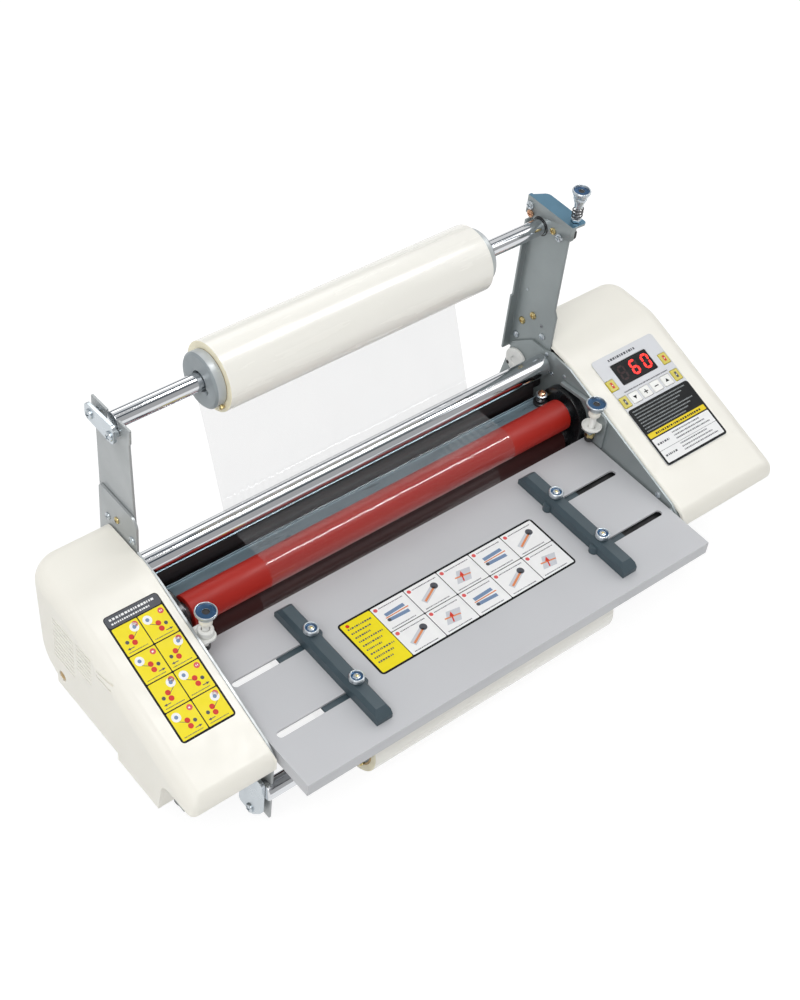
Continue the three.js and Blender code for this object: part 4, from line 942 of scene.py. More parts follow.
def idler(level):
    """A long face with turned-down necks."""
    node = level + "_idler"
    y, z = axis_of(node + "_spin")
    low, high = node_box(node)
    radius = (high.z - low.z) / 2
    face, neck = FRAME_INNER - IDLER_PLAY, FRAME_INNER - GAP
    profile = [
        (0, low.x), (IDLER_PIVOT, low.x), (IDLER_PIVOT, -neck), (IDLER_NECK, -neck), (IDLER_NECK, -face),
        (radius, -face), (radius, face), (IDLER_NECK, face), (IDLER_NECK, neck), (IDLER_PIVOT, neck),
        (IDLER_PIVOT, high.x), (0, high.x),
    ]
    stand_in(turned(node + "_bar", "X", (0, y, z), profile, PAINT[SLOTS[node]], 96, 0.5), node)


def chuck(name, body, y, z, end, outward, shaft, radius):
    """The grey flange at one end of a film roll: a notched bore round the shaft and a brass set screw. Its
    outer rim is painted lighter: a painted highlight.
    """
    def where(distance):
        return end + outward * distance

    bore = shaft + CHUCK_PLAY
    profile = [
        (bore, where(-CHUCK_PLUG)), (CHUCK_PLUG_RADIUS, where(-CHUCK_PLUG)), (CHUCK_PLUG_RADIUS, where(GAP)),
        (radius, where(GAP)), (radius, where(CHUCK_LENGTH - CHUCK_EDGE)),
        (radius - CHUCK_EDGE, where(CHUCK_LENGTH)), (bore, where(CHUCK_LENGTH)), (bore, where(-CHUCK_PLUG)),
    ]
    piece = turned(name, "X", (0, y, z), profile, PAINT["chuck_grey"], 96, 0.5)
    middle, axis = where(CHUCK_LENGTH / 2), at(0, y, z)
    notch = block_tool(middle - 5, middle + 5, y, y + bore + NOTCH_DEPTH, z - NOTCH_HALF, z + NOTCH_HALF)
    turn = Matrix.Translation(axis) @ Matrix.Rotation(NOTCH_TURN, 4, "X") @ Matrix.Translation(-axis)
    notch.data.transform(turn)
    cut_away(piece, [notch])
    # The round outer faces take the lighter grey: painted highlight.
    piece.data.materials.append(CHUCK_RIM_HIGHLIGHT)
    for face in piece.data.polygons:
        spot = local(face.center)
        if abs(face.normal.x) < 0.3 and math.hypot(spot.y - y, spot.z - z) > radius - 0.6:
            face.material_index = 1
    smooth(piece.data, 35)
    settle(piece, body)
    direction = Vector((0, math.cos(SET_SCREW_TURN), math.sin(SET_SCREW_TURN)))
    spot = Vector((where(CHUCK_LENGTH * 0.36), y, z)) + direction * radius
    set_screw = turned(name + "_set_screw", "Z", (0, 0, 0), SET_SCREW, BRASS, 24, 0.15)
    settle(aimed(set_screw, spot, direction), body)


def wound_film(level, joint):
    """The film on its roll, with its cut ends in their own material."""
    node = level + "_film_roll"
    y, z = axis_of(joint)
    low, high = node_box(node)
    bm = bmesh.new()
    lathe(bm, "X", (0, y, z), ring_profile(WOUND_BORE, (high.z - low.z) / 2, low.x, high.x), 160, 0.35)
    bm.normal_update()
    for face in bm.faces:
        face.material_index = 1 if abs(face.normal.x) > 0.8 else 0
    materials = [PAINT["film_roll"], wound_edge(joint).material]
    stand_in(make_object(level + "_wound_film", bm, materials), node)


def supply(level):
    """Shaft, two chucks, the wound film and its paper core."""
    node, joint = level + "_supply_shaft", level + "_supply_spin"
    shaft, flange = SUPPLIES[level]["shaft"], SUPPLIES[level]["flange"]
    body = body_of(node)
    y, z = axis_of(joint)
    low, high = node_box(node)
    rod = [(0, low.x), (shaft, low.x), (shaft, high.x), (0, high.x)]
    stand_in(turned(level + "_supply_rod", "X", (0, y, z), rod, PAINT["chrome_bar"], 96, 0.6), node)
    low, high = node_box(level + "_film_roll")
    chuck(level + "_left_chuck", body, y, z, low.x, -1, shaft, flange)
    chuck(level + "_right_chuck", body, y, z, high.x, 1, shaft, flange)
    wound_film(level, joint)
    core = ring_profile(CORE_BORE, WOUND_BORE - 0.05, low.x, high.x)
    settle(turned(level + "_roll_core", "X", (0, y, z), core, CORE, 96, 0.2), body)


# ---------- Film webs ----------
FREE, WRAPPED, FLAT = 0, 1, 2  # how the film lies at a point: free, on a roller, or flat on its way out
FILM_OFFSET = 0.5  # from a roller's face to the film
IDLER_FACE, ROLLER_FACE = 9.5, 13.4  # radii
WAY_OUT = 26  # how far the upper film reaches behind the pull roller's axis
WEBS = {
    "upper": {"turn": 1, "roll": 27.5, "end": 1.5 * math.pi},
    "lower": {"turn": -1, "roll": 27, "end": 0.64 * math.pi},
}
WEB_COLUMNS = 240
WEB_BLEND = 10  # rows over which a free stretch begins to wave


def tangent_normal(a, b, side_a, side_b, turn):
    """Angle of the unit normal of a line that touches two circles, each on its + or - side."""
    distance = math.hypot(b[0] - a[0], b[1] - a[1])
    along = math.atan2(b[1] - a[1], b[0] - a[0])
    return along + turn * math.acos((side_a * a[2] - side_b * b[2]) / distance)


def on_circle(circle, angle):
    return circle[0] + circle[2] * math.cos(angle), circle[1] + circle[2] * math.sin(angle)


def straight(start, end, step=3.0):
    count = max(2, round(math.dist(start, end) / step))
    return [
        (start[0] + (end[0] - start[0]) * k / count, start[1] + (end[1] - start[1]) * k / count)
        for k in range(1, count)
    ]


def wrapped(circle, start, end):
    count = max(3, round(abs(end - start) / 0.1))
    return [on_circle(circle, start + (end - start) * k / count) for k in range(count + 1)]


def film_circle(joint, radius):
    y, z = axis_of(joint)
    return y, z, radius + FILM_OFFSET


def web_path(level):
    """Points of a film's way from its roll round the idler to the nip, each with how the film lies there."""
    web = WEBS[level]
    roll = film_circle(level + "_supply_spin", web["roll"])
    small = film_circle(level + "_idler_spin", IDLER_FACE)
    main = film_circle(level + "_roller_spin", ROLLER_FACE)
    leave = tangent_normal(roll, small, 1, 1, web["turn"])
    cross = tangent_normal(small, main, 1, -1, web["turn"])
    around_idler = wrapped(small, leave, cross)
    around_main = wrapped(main, cross + math.pi, web["end"])
    start = on_circle(roll, leave)
    path = [(p, FREE) for p in [start, *straight(start, around_idler[0])]]
    path += [(p, WRAPPED) for p in around_idler]
    path += [(p, FREE) for p in straight(around_idler[-1], around_main[0])]
    path += [(p, WRAPPED) for p in around_main]
    if level == "upper":
        last = around_main[-1]
        out = (axis_of("upper_pull_spin")[0] + WAY_OUT, last[1])
        path += [(p, FLAT) for p in [*straight(last, out), out]]
    return path


def fold_strength(x, distance):
    """Folds run along the film just in front of the idler, strongest near its left edge."""
    strength = max(0.15, 1 - abs(x + 95) / 70)
    return strength if distance > 110 else 0


def wrinkle(x, distance, lies):
    """How far the film stands off its straight way, in millimetres."""
    slow = math.sin(0.051 * x + 0.03 * distance) + 0.6 * math.sin(0.13 * x - 0.045 * distance + 1.3)
    fine = 0.5 * math.sin(0.31 * x + 0.11 * distance + 0.7)
    if lies == WRAPPED:
        return 0.03 * max(0, slow + fine - 0.3)
    if lies == FLAT:
        return 0
    folds = 0.45 * math.sin(0.9 * x + 0.9 * math.sin(0.07 * x)) * fold_strength(x, distance)
    return 0.35 * slow + 0.1 * fine + folds


def across(path, i):
    """A vector at right angles to the path at its point i, as long as the way between its neighbours."""
    before, after = path[max(i - 1, 0)][0], path[min(i + 1, len(path) - 1)][0]
    return after[1] - before[1], before[0] - after[0]


def away(level, path, i):
    """+1 or -1, so that a lift on a wrap always leads away from the roller it lies on."""
    (y, z), lies = path[i]
    if lies != WRAPPED:
        return 1
    normal = across(path, i)
    centres = [axis_of(level + "_idler_spin"), axis_of(level + "_roller_spin")]
    centre = min(centres, key=lambda c: math.dist(c, (y, z)))
    return 1 if normal[0] * (y - centre[0]) + normal[1] * (z - centre[1]) > 0 else -1


def film_web(level):
    node = level + "_film_web"
    low, high = node_box(node)
    path = web_path(level)
    held = [i for i, (_, lies) in enumerate(path) if lies != FREE]
    bm = bmesh.new()
    rows = []
    distance = 0
    for i, ((y, z), lies) in enumerate(path):
        if i:
            distance += math.dist(path[i - 1][0], (y, z))
        normal, side = across(path, i), away(level, path, i)
        length = math.hypot(*normal)
        blend = min(1, min(abs(i - j) for j in held) / WEB_BLEND) if lies == FREE else 1
        row = []
        for k in range(WEB_COLUMNS + 1):
            x = low.x + (high.x - low.x) * k / WEB_COLUMNS
            lift = wrinkle(x, distance, lies) * blend * side / length
            row.append(bm.verts.new((x, y + normal[0] * lift, z + normal[1] * lift)))
        rows.append(row)
    for a, b in zip(rows, rows[1:]):
        for k in range(WEB_COLUMNS):
            bm.faces.new([a[k], a[k + 1], b[k + 1], b[k]])
    piece = make_object(node + "_sheet", bm, [PAINT["clear_film"]], 60)
    stand_in(piece, node)


# ---------- Knobs ----------
PRESSURE_HEAD, TENSION_HEAD = 6.2, 6.6  # depths of the heads
DISC, SOCKET = 7.6, 2.9  # radii of a head's sunken disc and of the socket in it
THREAD_PITCH = 1


def guide_knob(node, body):
    """A round nut on a guide: bright rim, a recess painted dark blue (painted shade and reflection), domed
    hub and a brass pin.
    """
    x, y, seat, top, radius = upright_of(node)
    bm = bmesh.new()
    lathe(bm, "Z", (x, y, 0), [
        (1.9, seat), (4.5, seat), (4.5, seat + 1.4), (radius - 0.5, seat + 1.6), (radius, seat + 2.2),
        (radius, top - 0.8), (radius - 0.7, top), (4.6, top), (4.3, top - 1.3), (2.7, top - 1.3),
        (2.5, top - 0.5), (1.9, top - 0.3), (1.9, seat),
    ], 96, 0.25)
    # The recess floor is dark blue zinc: painted shade and reflection.
    lathe(bm, "Z", (x, y, 0), ring_profile(2.8, 4.3, top - 1.4, top - 1.2), 96, 0.02, 1)
    stand_in(make_object(node + "_ring", bm, [ZINC, RECESS_SHADE_REFLECTION_ZINC]), node)
    foot = top - 0.88
    bm = bmesh.new()
    lathe(bm, "Z", (x, y, 0), [(0, foot), (1.75, foot), (1.6, top - 0.3), (0, top - 0.2)], 40, 0.1)
    pin = [(0, foot + 0.1), (1.15, foot + 0.1), (1.15, top - 0.15), (0.6, top), (0, top)]
    lathe(bm, "Z", (x, y, 0), pin, 32, 0.1, 1)
    settle(make_object(node + "_pin", bm, [ZINC, BRASS]), body)


def knob_head(node, depth, share=1.0):
    """A turned head: conical flank, bright rounded rim, a sunken disc painted dark blue (painted shade and
    reflection) and a black plug nearly filling the socket in its middle (painted shade).
    """
    x, y, _, top, radius = upright_of(node)
    disc, hole = DISC * share, SOCKET * share
    bm = bmesh.new()
    lathe(bm, "Z", (x, y, 0), [
        (0, top - depth), (radius - 2.3, top - depth), (radius - 0.2, top - 2.2), (radius, top - 1.6),
        (radius, top - 0.7), (radius - 0.5, top), (disc, top), (disc - 0.3, top - 1.4), (hole, top - 1.4),
        (hole, top - 3), (0, top - 3),
    ], 120, 0.25)
    # The sunken disc is dark blue zinc: painted shade and reflection.
    sunken = [
        (hole + 0.1, top - 1.5), (disc - 0.35, top - 1.5), (disc - 0.35, top - 1.3), (hole + 0.5, top - 1),
        (hole + 0.1, top - 1), (hole + 0.1, top - 1.5),
    ]
    lathe(bm, "Z", (x, y, 0), sunken, 120, 0.02, 1)
    # A black plug fills the socket almost to its rim: painted shade in the hole.
    socket_shade_plug = [(0, top - 3.1), (hole - 0.1, top - 3.1), (hole - 0.1, top - 1.6), (0, top - 1.6)]
    lathe(bm, "Z", (x, y, 0), socket_shade_plug, 40, 0.1, 2)
    stand_in(make_object(node + "_head", bm, [ZINC, RECESS_SHADE_REFLECTION_ZINC, BLACK]), node)


def hex_nut(name, x, y, low, high, radius, material, body):
    corners = [math.radians(60 * k + 15) for k in range(6)]
    loop = [(x + radius * math.cos(a), y + radius * math.sin(a), low) for a in corners]
    bar(name, loop, (0, 0, high - low), material, 0.35, body)


def spring(name, x, y, low, high, radius, wire, turns, material, body="machine"):
    steps = round(28 * turns)
    path = []
    for k in range(steps + 1):
        angle = 2 * math.pi * turns * k / steps
        spot = (x + radius * math.cos(angle), y + radius * math.sin(angle), low + (high - low) * k / steps)
        path.append(Vector(spot))
    bm = bmesh.new()
    tube(bm, path, wire)
    settle(make_object(name, bm, [material], 60), body)


def thread_profile(low, high, radius):
    profile = [(0, low)]
    z = low
    while z < high - THREAD_PITCH:
        end = z + THREAD_PITCH
        profile += [(radius - 0.4, z + 0.1), (radius, z + THREAD_PITCH / 2), (radius - 0.4, end - 0.1)]
        z = end
    return profile + [(radius - 0.4, high), (0, high)]


def pressure_knob(side):
    node = side + "_pressure_knob"
    x, y, foot, top, _ = upright_of(node)
    body = body_of(node)
    knob_head(node, PRESSURE_HEAD)
    under = top - PRESSURE_HEAD
    neck = [
        (0, top - 14), (4.2, top - 14), (5, top - 13), (5, top - 10.5), (4.2, top - 9), (5.6, under - 1),
        (5.6, under - GAP / 2), (0, under - GAP / 2),
    ]
    post(node + "_neck", x, y, neck, IVORY, 72, 0.5, body)
    post(node + "_thread", x, y, thread_profile(foot + 4, top - 13.9, 2.7), WHITE, 40, 0.02, body)
    tip = [(0, foot), (3.6, foot), (4, foot + 1), (4, foot + 4), (2.2, foot + 4.6), (0, foot + 4.6)]
    post(node + "_tip", x, y, tip, BLACK, 48, 0.5, body)


def pressure_collar():
    """White collar round the left pressure screw, on its bracket."""
    x, y = upright_of("left_pressure_knob")[:2]
    seat = node_box("left_pressure_bracket")[1].z
    foot, top = seat + GAP, seat + 6
    collar = [(3.2, foot), (6.2, foot), (6.2, top - 1), (5.2, top), (3.2, top), (3.2, foot)]
    post("left_pressure_collar", x, y, collar, WHITE, 64, 0.6)


def right_pressure_mount():
    """The right pressure screw's mount: grey back plate with a tongue, white saucer and a brass nut."""
    node = "right_pressure_bracket"
    high = node_box(node)[1]
    x, y, foot, _, _ = upright_of("right_pressure_knob")
    shelf, wall = high.z, high.x - 2
    saucer = [
        (3.2, shelf - 2.6), (6.4, shelf - 2.6), (8.4, shelf - 0.6), (8.6, shelf + 0.8), (7.9, shelf + 0.9),
        (6.6, shelf - 0.6), (3.2, shelf - 0.6), (3.2, shelf - 2.6),
    ]
    stand_in(turned("right_pressure_saucer", "Z", (x, y, 0), saucer, WHITE, 96, 0.4), node)
    plate = [(126, 2), (146.8, 2), (146.8, 38), (139, 38), (136, 34), (130, 34), (126, 30)]
    bm = bmesh.new()
    prism(bm, [(wall, py, pz) for py, pz in plate], (high.x - wall, 0, 0))
    prism(bm, box_loop(x - 6.4, wall + 0.5, y - 5, y + 5, shelf - 4.4), (0, 0, 1.6))
    back = make_object("right_pressure_plate", bm, [PAINT["frame_paint"]])
    hole = [(0, shelf - 8), (3.4, shelf - 8), (3.4, shelf), (0, shelf)]
    cut_away(back, [turned("tool", "Z", (x, y, 0), hole, BLACK, 32, 0.01)])
    settle(soften(back, 0.4))
    hex_nut("right_pressure_nut", x, y, foot + 4.9, foot + 9, 4.6, BRASS, body_of("right_pressure_knob"))


def tension_knob():
    node = "tension_knob"
    x, y, foot, top, _ = upright_of(node)
    seat = node_box("clamp_bracket")[1].z
    body = body_of(node)
    knob_head(node, TENSION_HEAD, 0.84)
    under = top - TENSION_HEAD - GAP / 2
    neck = [(0, top - 16.5), (3.4, top - 16.5), (3.6, top - 13), (5.4, top - 8.2), (5.4, under), (0, under)]
    post(node + "_neck", x, y, neck, ZINC, 64, 0.4, body)
    stem = [(0, foot + 7.5), (1.9, foot + 7.5), (1.9, top - 16.4), (0, top - 16.4)]
    post(node + "_stem", x, y, stem, STEEL, 40, 0.1, body)
    hex_nut(node + "_nut", x, y, seat + GAP, seat + 2.8, 4.4, ZINC, body)
    spring(node + "_spring", x, y, seat + 3.6, top - 17.2, 4, 0.5, 3, BLACK, body)
    tip = [(0, foot), (1.8, foot), (2.75, foot + 1.5), (2.75, foot + 6.5), (1.8, foot + 7.6), (0, foot + 7.6)]
    post(node + "_tip", x, y, tip, BLACK, 40, 0.6, body)


# ---------- Printed labels ----------
class Label:
    """Thin printed patches on a flat surface. Each layer lies a little above the one before."""

    LAYER = 0.03

    def __init__(self, name, point, base=0.06):
        self.name = name
        self.point = point
        self.base = base
        self.bm = bmesh.new()
        self.inks = []

    def patch(self, loop, ink_name, layer):
        if ink_name not in self.inks:
            self.inks.append(ink_name)
        top = self.base + layer * self.LAYER
        low = 0.02 if layer == 0 else top - self.LAYER * 0.8
        points = [self.point(x, y, low) for x, y in loop]
        prism(self.bm, points, self.point(0, 0, top) - self.point(0, 0, low), self.inks.index(ink_name))

    def rect(self, x0, x1, y0, y1, ink_name, layer, radius=0.0):
        if not radius:
            self.patch([(x0, y0), (x1, y0), (x1, y1), (x0, y1)], ink_name, layer)
            return
        loop = []
        corners = [(x1 - radius, y0 + radius, -90), (x1 - radius, y1 - radius, 0),
                   (x0 + radius, y1 - radius, 90), (x0 + radius, y0 + radius, 180)]
        for cx, cy, start in corners:
            for k in range(6):
                angle = math.radians(start + 90 * k / 5)
                loop.append((cx + radius * math.cos(angle), cy + radius * math.sin(angle)))
        self.patch(loop, ink_name, layer)

    def disc(self, x, y, radius, ink_name, layer, steps=28):
        turns = [2 * math.pi / steps * k for k in range(steps)]
        self.patch([(x + radius * math.cos(a), y + radius * math.sin(a)) for a in turns], ink_name, layer)

    def line(self, x0, y0, x1, y1, width, ink_name, layer):
        length = math.hypot(x1 - x0, y1 - y0)
        nx, ny = -(y1 - y0) / length * width / 2, (x1 - x0) / length * width / 2
        loop = [(x0 - nx, y0 - ny), (x1 - nx, y1 - ny), (x1 + nx, y1 + ny), (x0 + nx, y0 + ny)]
        self.patch(loop, ink_name, layer)

    def arrow(self, x0, y0, x1, y1, width, ink_name, layer):
        length = math.hypot(x1 - x0, y1 - y0)
        ux, uy = (x1 - x0) / length, (y1 - y0) / length
        head = 2.4 * width
        nx, ny = x1 - ux * head, y1 - uy * head
        self.line(x0, y0, nx, ny, width * 0.6, ink_name, layer)
        wing_x, wing_y = -uy * width, ux * width
        self.patch([(x1, y1), (nx + wing_x, ny + wing_y), (nx - wing_x, ny - wing_y)], ink_name, layer)

    def dashes(self, x0, x1, y, height, ink_name, layer, seed):
        """A row of short bars, as unreadable as small print seen from afar."""
        draw = random.Random(seed)
        x = x0
        while x < x1 - 0.4:
            width = min(draw.uniform(0.5, 1.3) * height, x1 - x)
            self.rect(x, x + width, y, y + height, ink_name, layer)
            x += width + height * draw.uniform(0.3, 0.6)

    def build(self, body="machine"):
        settle(make_object(self.name, self.bm, [INK[name] for name in self.inks], 30), body)


def cells(left, right, bottom, top, columns, rows, gap):
    """Row, column, left, bottom, width and height of each cell of a grid."""
    width = (right - left - gap * (columns - 1)) / columns
    height = (top - bottom - gap * (rows - 1)) / rows
    for row in range(rows):
        for column in range(columns):
            yield row, column, left + column * (width + gap), bottom + row * (height + gap), width, height


def film_path_sketch(label, x, y, w, h, mirrored):
    """A small diagram: a roll, two nip circles, an idler, the line to them and an arrow."""
    def place(aside, up):
        return x + w / 2 + (-aside if mirrored else aside) * w, y + up * h

    small = min(w, h)
    label.disc(*place(-0.26, 0.76), 0.17 * small, "white", 2)
    label.disc(*place(-0.26, 0.76), 0.07 * small, "blue", 3)
    label.disc(*place(0.02, 0.52), 0.1 * small, "red", 2)
    label.disc(*place(0.02, 0.32), 0.1 * small, "red", 2)
    label.disc(*place(0.26, 0.42), 0.07 * small, "grey", 2)
    label.line(*place(-0.26, 0.6), *place(0.02, 0.44), 0.02 * w, "grey", 2)
    label.arrow(*place(0.12, 0.2), *place(0.4, 0.2), 0.05 * w, "grey", 2)


def left_label():
    """Threading guide: dark border, grey heading and eight yellow cells."""
    label = Label("left_threading_label", slope_point)
    x0, x1, s0, s1 = -255.5, -210, up_slope(70.5), up_slope(171.5)
    heading, margin, inset = 9.5, 1.6, 0.6
    label.rect(x0, x1, s0, s1, "black", 0, 3)
    label.rect(x0 + inset, x1 - inset, s1 - heading, s1 - inset, "grey", 1, 2.4)
    for row in range(2):
        label.dashes(x0 + 4, x1 - 4 - 6 * row, s1 - 4.4 - 3.2 * row, 1.7 - 0.4 * row, "white", 2, 5 + row)
    grid = cells(x0 + margin, x1 - margin, s0 + margin, s1 - heading - 0.9, 2, 4, 0.9)
    for row, column, x, s, width, height in grid:
        right, top = x + width, s + height
        label.rect(x, right, s, top, "yellow", 1, 0.8)
        label.disc(right - 3.4, top - 3.6, 2.3, "rose", 2)
        label.dashes(right - 4.4, right - 2.4, top - 4.3, 1.2, "white", 3, row)
        film_path_sketch(label, x, s, width, height, (row + column) % 2)
        label.dashes(x + 2, right - 3, s + 1.6, 0.7, "grey", 2, 20 + row * 2 + column)
    label.build()


def table_point(x, y, z):
    return Vector((x, y, z))


def table_label():
    """Operating guide on the table: dark border, white cells and one yellow block."""
    label = Label("table_guide_label", table_point)
    x0, x1, y0, y1 = -97.5, 98, 45.4, 101.7
    margin, gap, head = 1.8, 0.7, 30
    label.rect(x0, x1, y0, y1, "black", 0, 3.5)
    label.rect(x0 + margin, x0 + head, y0 + margin, y1 - margin, "yellow", 1, 1.4)
    for k in range(9):
        label.dashes(x0 + 5, x0 + head - 3 - (k % 3) * 4, y1 - 9 - 4.6 * k, 1.5, "grey", 2, 40 + k)
    label.disc(x0 + 7, y1 - 5, 1.6, "red", 2)
    columns = 5
    grid = cells(x0 + head + gap, x1 - margin, y0 + margin, y1 - margin, columns, 2, gap)
    for row, column, x, y, width, height in grid:
        kind, right, top = row * columns + column, x + width, y + height
        label.rect(x, right, y, top, "white", 1, 0.8)
        label.disc(x + 3, top - 3.2, 1.7, "rose", 2)
        machine_sketch(label, x, y, width, height, kind)
        label.dashes(x + 6, right - 3, top - 3.6, 0.9, "grey", 2, 60 + kind)
        label.dashes(x + 3, right - 6, y + 1.6, 0.9, "grey", 2, 80 + kind)
    label.build()


def machine_sketch(label, x, y, w, h, kind):
    """Small line drawings: a roll, a sheet with an arrow, or a pair of rollers."""
    def place(aside, up):
        return x + w / 2 + aside * w, y + h / 2 - 0.5 + up * h

    if kind % 3 == 0:
        label.line(*place(-0.3, -0.16), *place(0.22, 0.16), 0.2 * h, "pale", 2)
        label.line(*place(-0.26, -0.16), *place(0.2, 0.13), 0.07 * h, "orange", 3)
        label.disc(*place(0.22, 0.17), 0.12 * h, "grey", 3)
    elif kind % 3 == 1:
        label.patch([place(-0.3, -0.2), place(0.1, -0.26), place(0.3, 0.14), place(-0.08, 0.22)], "pale", 2)
        label.line(*place(-0.24, 0.02), *place(0.2, -0.06), 0.05 * h, "orange", 3)
        label.arrow(*place(-0.1, -0.2), *place(0.02, 0.16), 0.06 * w, "red", 4)
    else:
        for step in (-1, 1):
            label.line(*place(-0.3, step * 0.1), *place(0.28, step * 0.13), 0.12 * h, "blue", 2)
        label.line(*place(-0.34, 0), *place(0.34, 0.01), 0.04 * h, "orange", 3)
        label.disc(*place(-0.3, -0.1), 0.06 * h, "grey", 4)


PANEL_BASE = 0.95  # top of the control panel's membrane above the slope


def panel_print():
    """Printing on the control panel's membrane."""
    x0, x1, s0, s1 = slope_area("control_overlay")
    label = Label("panel_print", slope_point, PANEL_BASE)
    top, strip0, strip1 = up_slope(125.4), up_slope(97), up_slope(101.5)
    inset = 2.2
    left, right, low, high = x0 + inset, x1 - inset, s0 + inset, strip0 - 1.2
    label.rect(x0 + 0.15, x1 - 0.15, s0 + 0.15, top, "black", 0, 2.6)
    row = 0
    s = top - 3.4
    while s > strip1 + 1.5:
        label.dashes(x0 + 4, x1 - 6 - (row % 4) * 5, s, 1.05, "dim", 1, 100 + row)
        s -= 2.9
        row += 1
    label.rect(left, right, strip0, strip1, "amber", 1, 0.5)
    label.dashes(x0 + 10, x1 - 8, strip0 + 1.4, 1.7, "black", 2, 140)
    label.rect(left, right, low, high, "white", 1, 0.8)
    half = (low + high) / 2
    label.line(left, half, right, half, 0.3, "grey", 2)
    for block, base in enumerate((s0 + 4, half + 1.6)):
        label.dashes(x0 + 4.5, x0 + 18, base + 3.6, 1.7, "grey", 2, 150 + block)
        for k in range(3):
            label.dashes(x0 + 24, x1 - 7 - 4 * k, base + 1 + 3.1 * k, 1.2, "grey", 2, 160 + 4 * block + k)
    label.dashes(x0 + 16, x1 - 24, s1 - 6.4, 2.2, "grey", 0, 180)
    label.dashes(x0 + 10, x1 - 10, up_slope(139.6), 1.1, "grey", 0, 181)
    label.build()


SEGMENTS = {"6": "acdefg", "0": "abcdef", "8": "abcdefg"}
DIGIT = {"width": 8.2, "height": 14, "thick": 2, "slant": 0.09}


def display_digits():
    """Three seven-segment digits behind the window; the first one is dark."""
    x0, x1, s0, s1 = display_area()
    label = Label("display_digits", slope_point, PANEL_BASE)
    label.rect(x0 + 0.1, x1 - 0.1, s0 + 0.1, s1 - 0.1, "black", 0, 0.8)
    pitch = (x1 - x0) / 3
    bottom = (s0 + s1 - DIGIT["height"]) / 2
    for index, (digit, lit) in enumerate([("8", "unlit"), ("6", "lit"), ("0", "lit")]):
        left = x0 + pitch * index + (pitch - DIGIT["width"]) / 2
        for segment in SEGMENTS["8"]:
            ink_name = lit if segment in SEGMENTS[digit] else "unlit"
            label.patch(segment_loop(segment, left, bottom, **DIGIT), ink_name, 1)
    label.build()


def segment_loop(segment, left, bottom, width, height, thick, slant):
    """Outline of one segment of a digit."""
    half, t = height / 2, thick / 2
    horizontal = {"a": height - t, "g": half, "d": t}
    right = width - t
    vertical = {"f": (t, half, height), "b": (right, half, height), "e": (t, 0, half), "c": (right, 0, half)}
    if segment in horizontal:
        y = horizontal[segment]
        points = [(t + 0.3, y), (thick + 0.3, y - t), (width - thick - 0.3, y - t), (width - t - 0.3, y),
                  (width - thick - 0.3, y + t), (thick + 0.3, y + t)]
    else:
        x, y0, y1 = vertical[segment]
        y0, y1 = max(y0, t) + 0.3, min(y1, height - t) - 0.3
        points = [(x, y0), (x + t, y0 + t), (x + t, y1 - t), (x, y1), (x - t, y1 - t), (x - t, y0 + t)]
    return [(left + x + slant * y, bottom + y) for x, y in points]


def key_top(node):
    """Height of a key's top above the slope."""
    return max((local(vertex.co) - SLOPE_FOOT).dot(SLOPE_OUT) for vertex in NODES[node].data.vertices)


def key_mark(label, node, x, s):
    """A plain symbol: plus, minus, a triangle, or a small bar for a roller."""
    long, thin = 2.2, 0.45
    if node in ("key_plus", "key_minus"):
        label.rect(x - long, x + long, s - thin, s + thin, "black", 1)
        if node == "key_plus":
            label.rect(x - thin, x + thin, s - long, s + long, "black", 2)
    elif node in ("key_speed_down", "key_speed_up"):
        step = 1 if node == "key_speed_up" else -1
        triangle = [(x - 2, s - step * 1.3), (x + 2, s - step * 1.3), (x, s + step * 2)]
        label.patch(triangle[::step], "black", 1)
    else:
        label.rect(x - 1.1, x + 1.1, s - 2.8, s + 2.8, "red" if "upper" in node else "grey", 1, 0.5)
        label.disc(x, s, 0.6, "white", 2, 16)


def key_caps():
    """Domed caps with a plain symbol each."""
    for node in KEYS:
        x0, x1, s0, s1 = slope_area(node)
        refined(node, None, 0.5)
        label = Label(node + "_mark", slope_point, key_top(node) + 0.05)
        key_mark(label, node, (x0 + x1) / 2, (s0 + s1) / 2)
        label.build(body_of(node))


# ---------- Small fixed parts ----------
def nylon_disc():
    """White bush on the right frame's inner face, behind the pull rollers, with a small black screw."""
    y, z = 236.8, 15.9
    face = FRAME_INNER
    profile = [
        (0, face - 0.1), (12, face - 0.1), (12, face - 2.2), (9, face - 3), (5, face - 3), (4.4, face - 2),
        (0, face - 2),
    ]
    settle(turned("nylon_bush", "X", (0, y, z), profile, WHITE, 72, 0.4))
    screw("nylon_bush_screw", (face - 2.5, 244.6, 9.5), LEFTWARDS, 1.8, BLACK)


def roller_adjuster():
    """Spring-loaded adjuster between the upper rollers, at the right end of the shield strip."""
    x, y = 186.8, 189.6
    collar = [(0, 10.4), (6.2, 10.4), (6.2, 12.6), (4.4, 13.2), (0, 13.2)]
    cap = [(0, 19.3), (5, 19.3), (5, 20.6), (4.2, 21), (0, 21)]
    post("adjuster_collar", x, y, collar, BLACK, 64, 0.4)
    spring("adjuster_spring", x, y, 13.6, 18.4, 3.6, 0.6, 2.5, STEEL)
    post("adjuster_ring", x, y, cap, ZINC, 64, 0.3)
    screw("adjuster_screw", (x, y, 21.3), UPWARDS, 3.4, COPPER)
    bar("adjuster_strip", box_loop(x - 4, FRAME_INNER - 8.6, y - 3, y + 3, 18.4), (0, 0, 0.8), BRASS, 0.25)


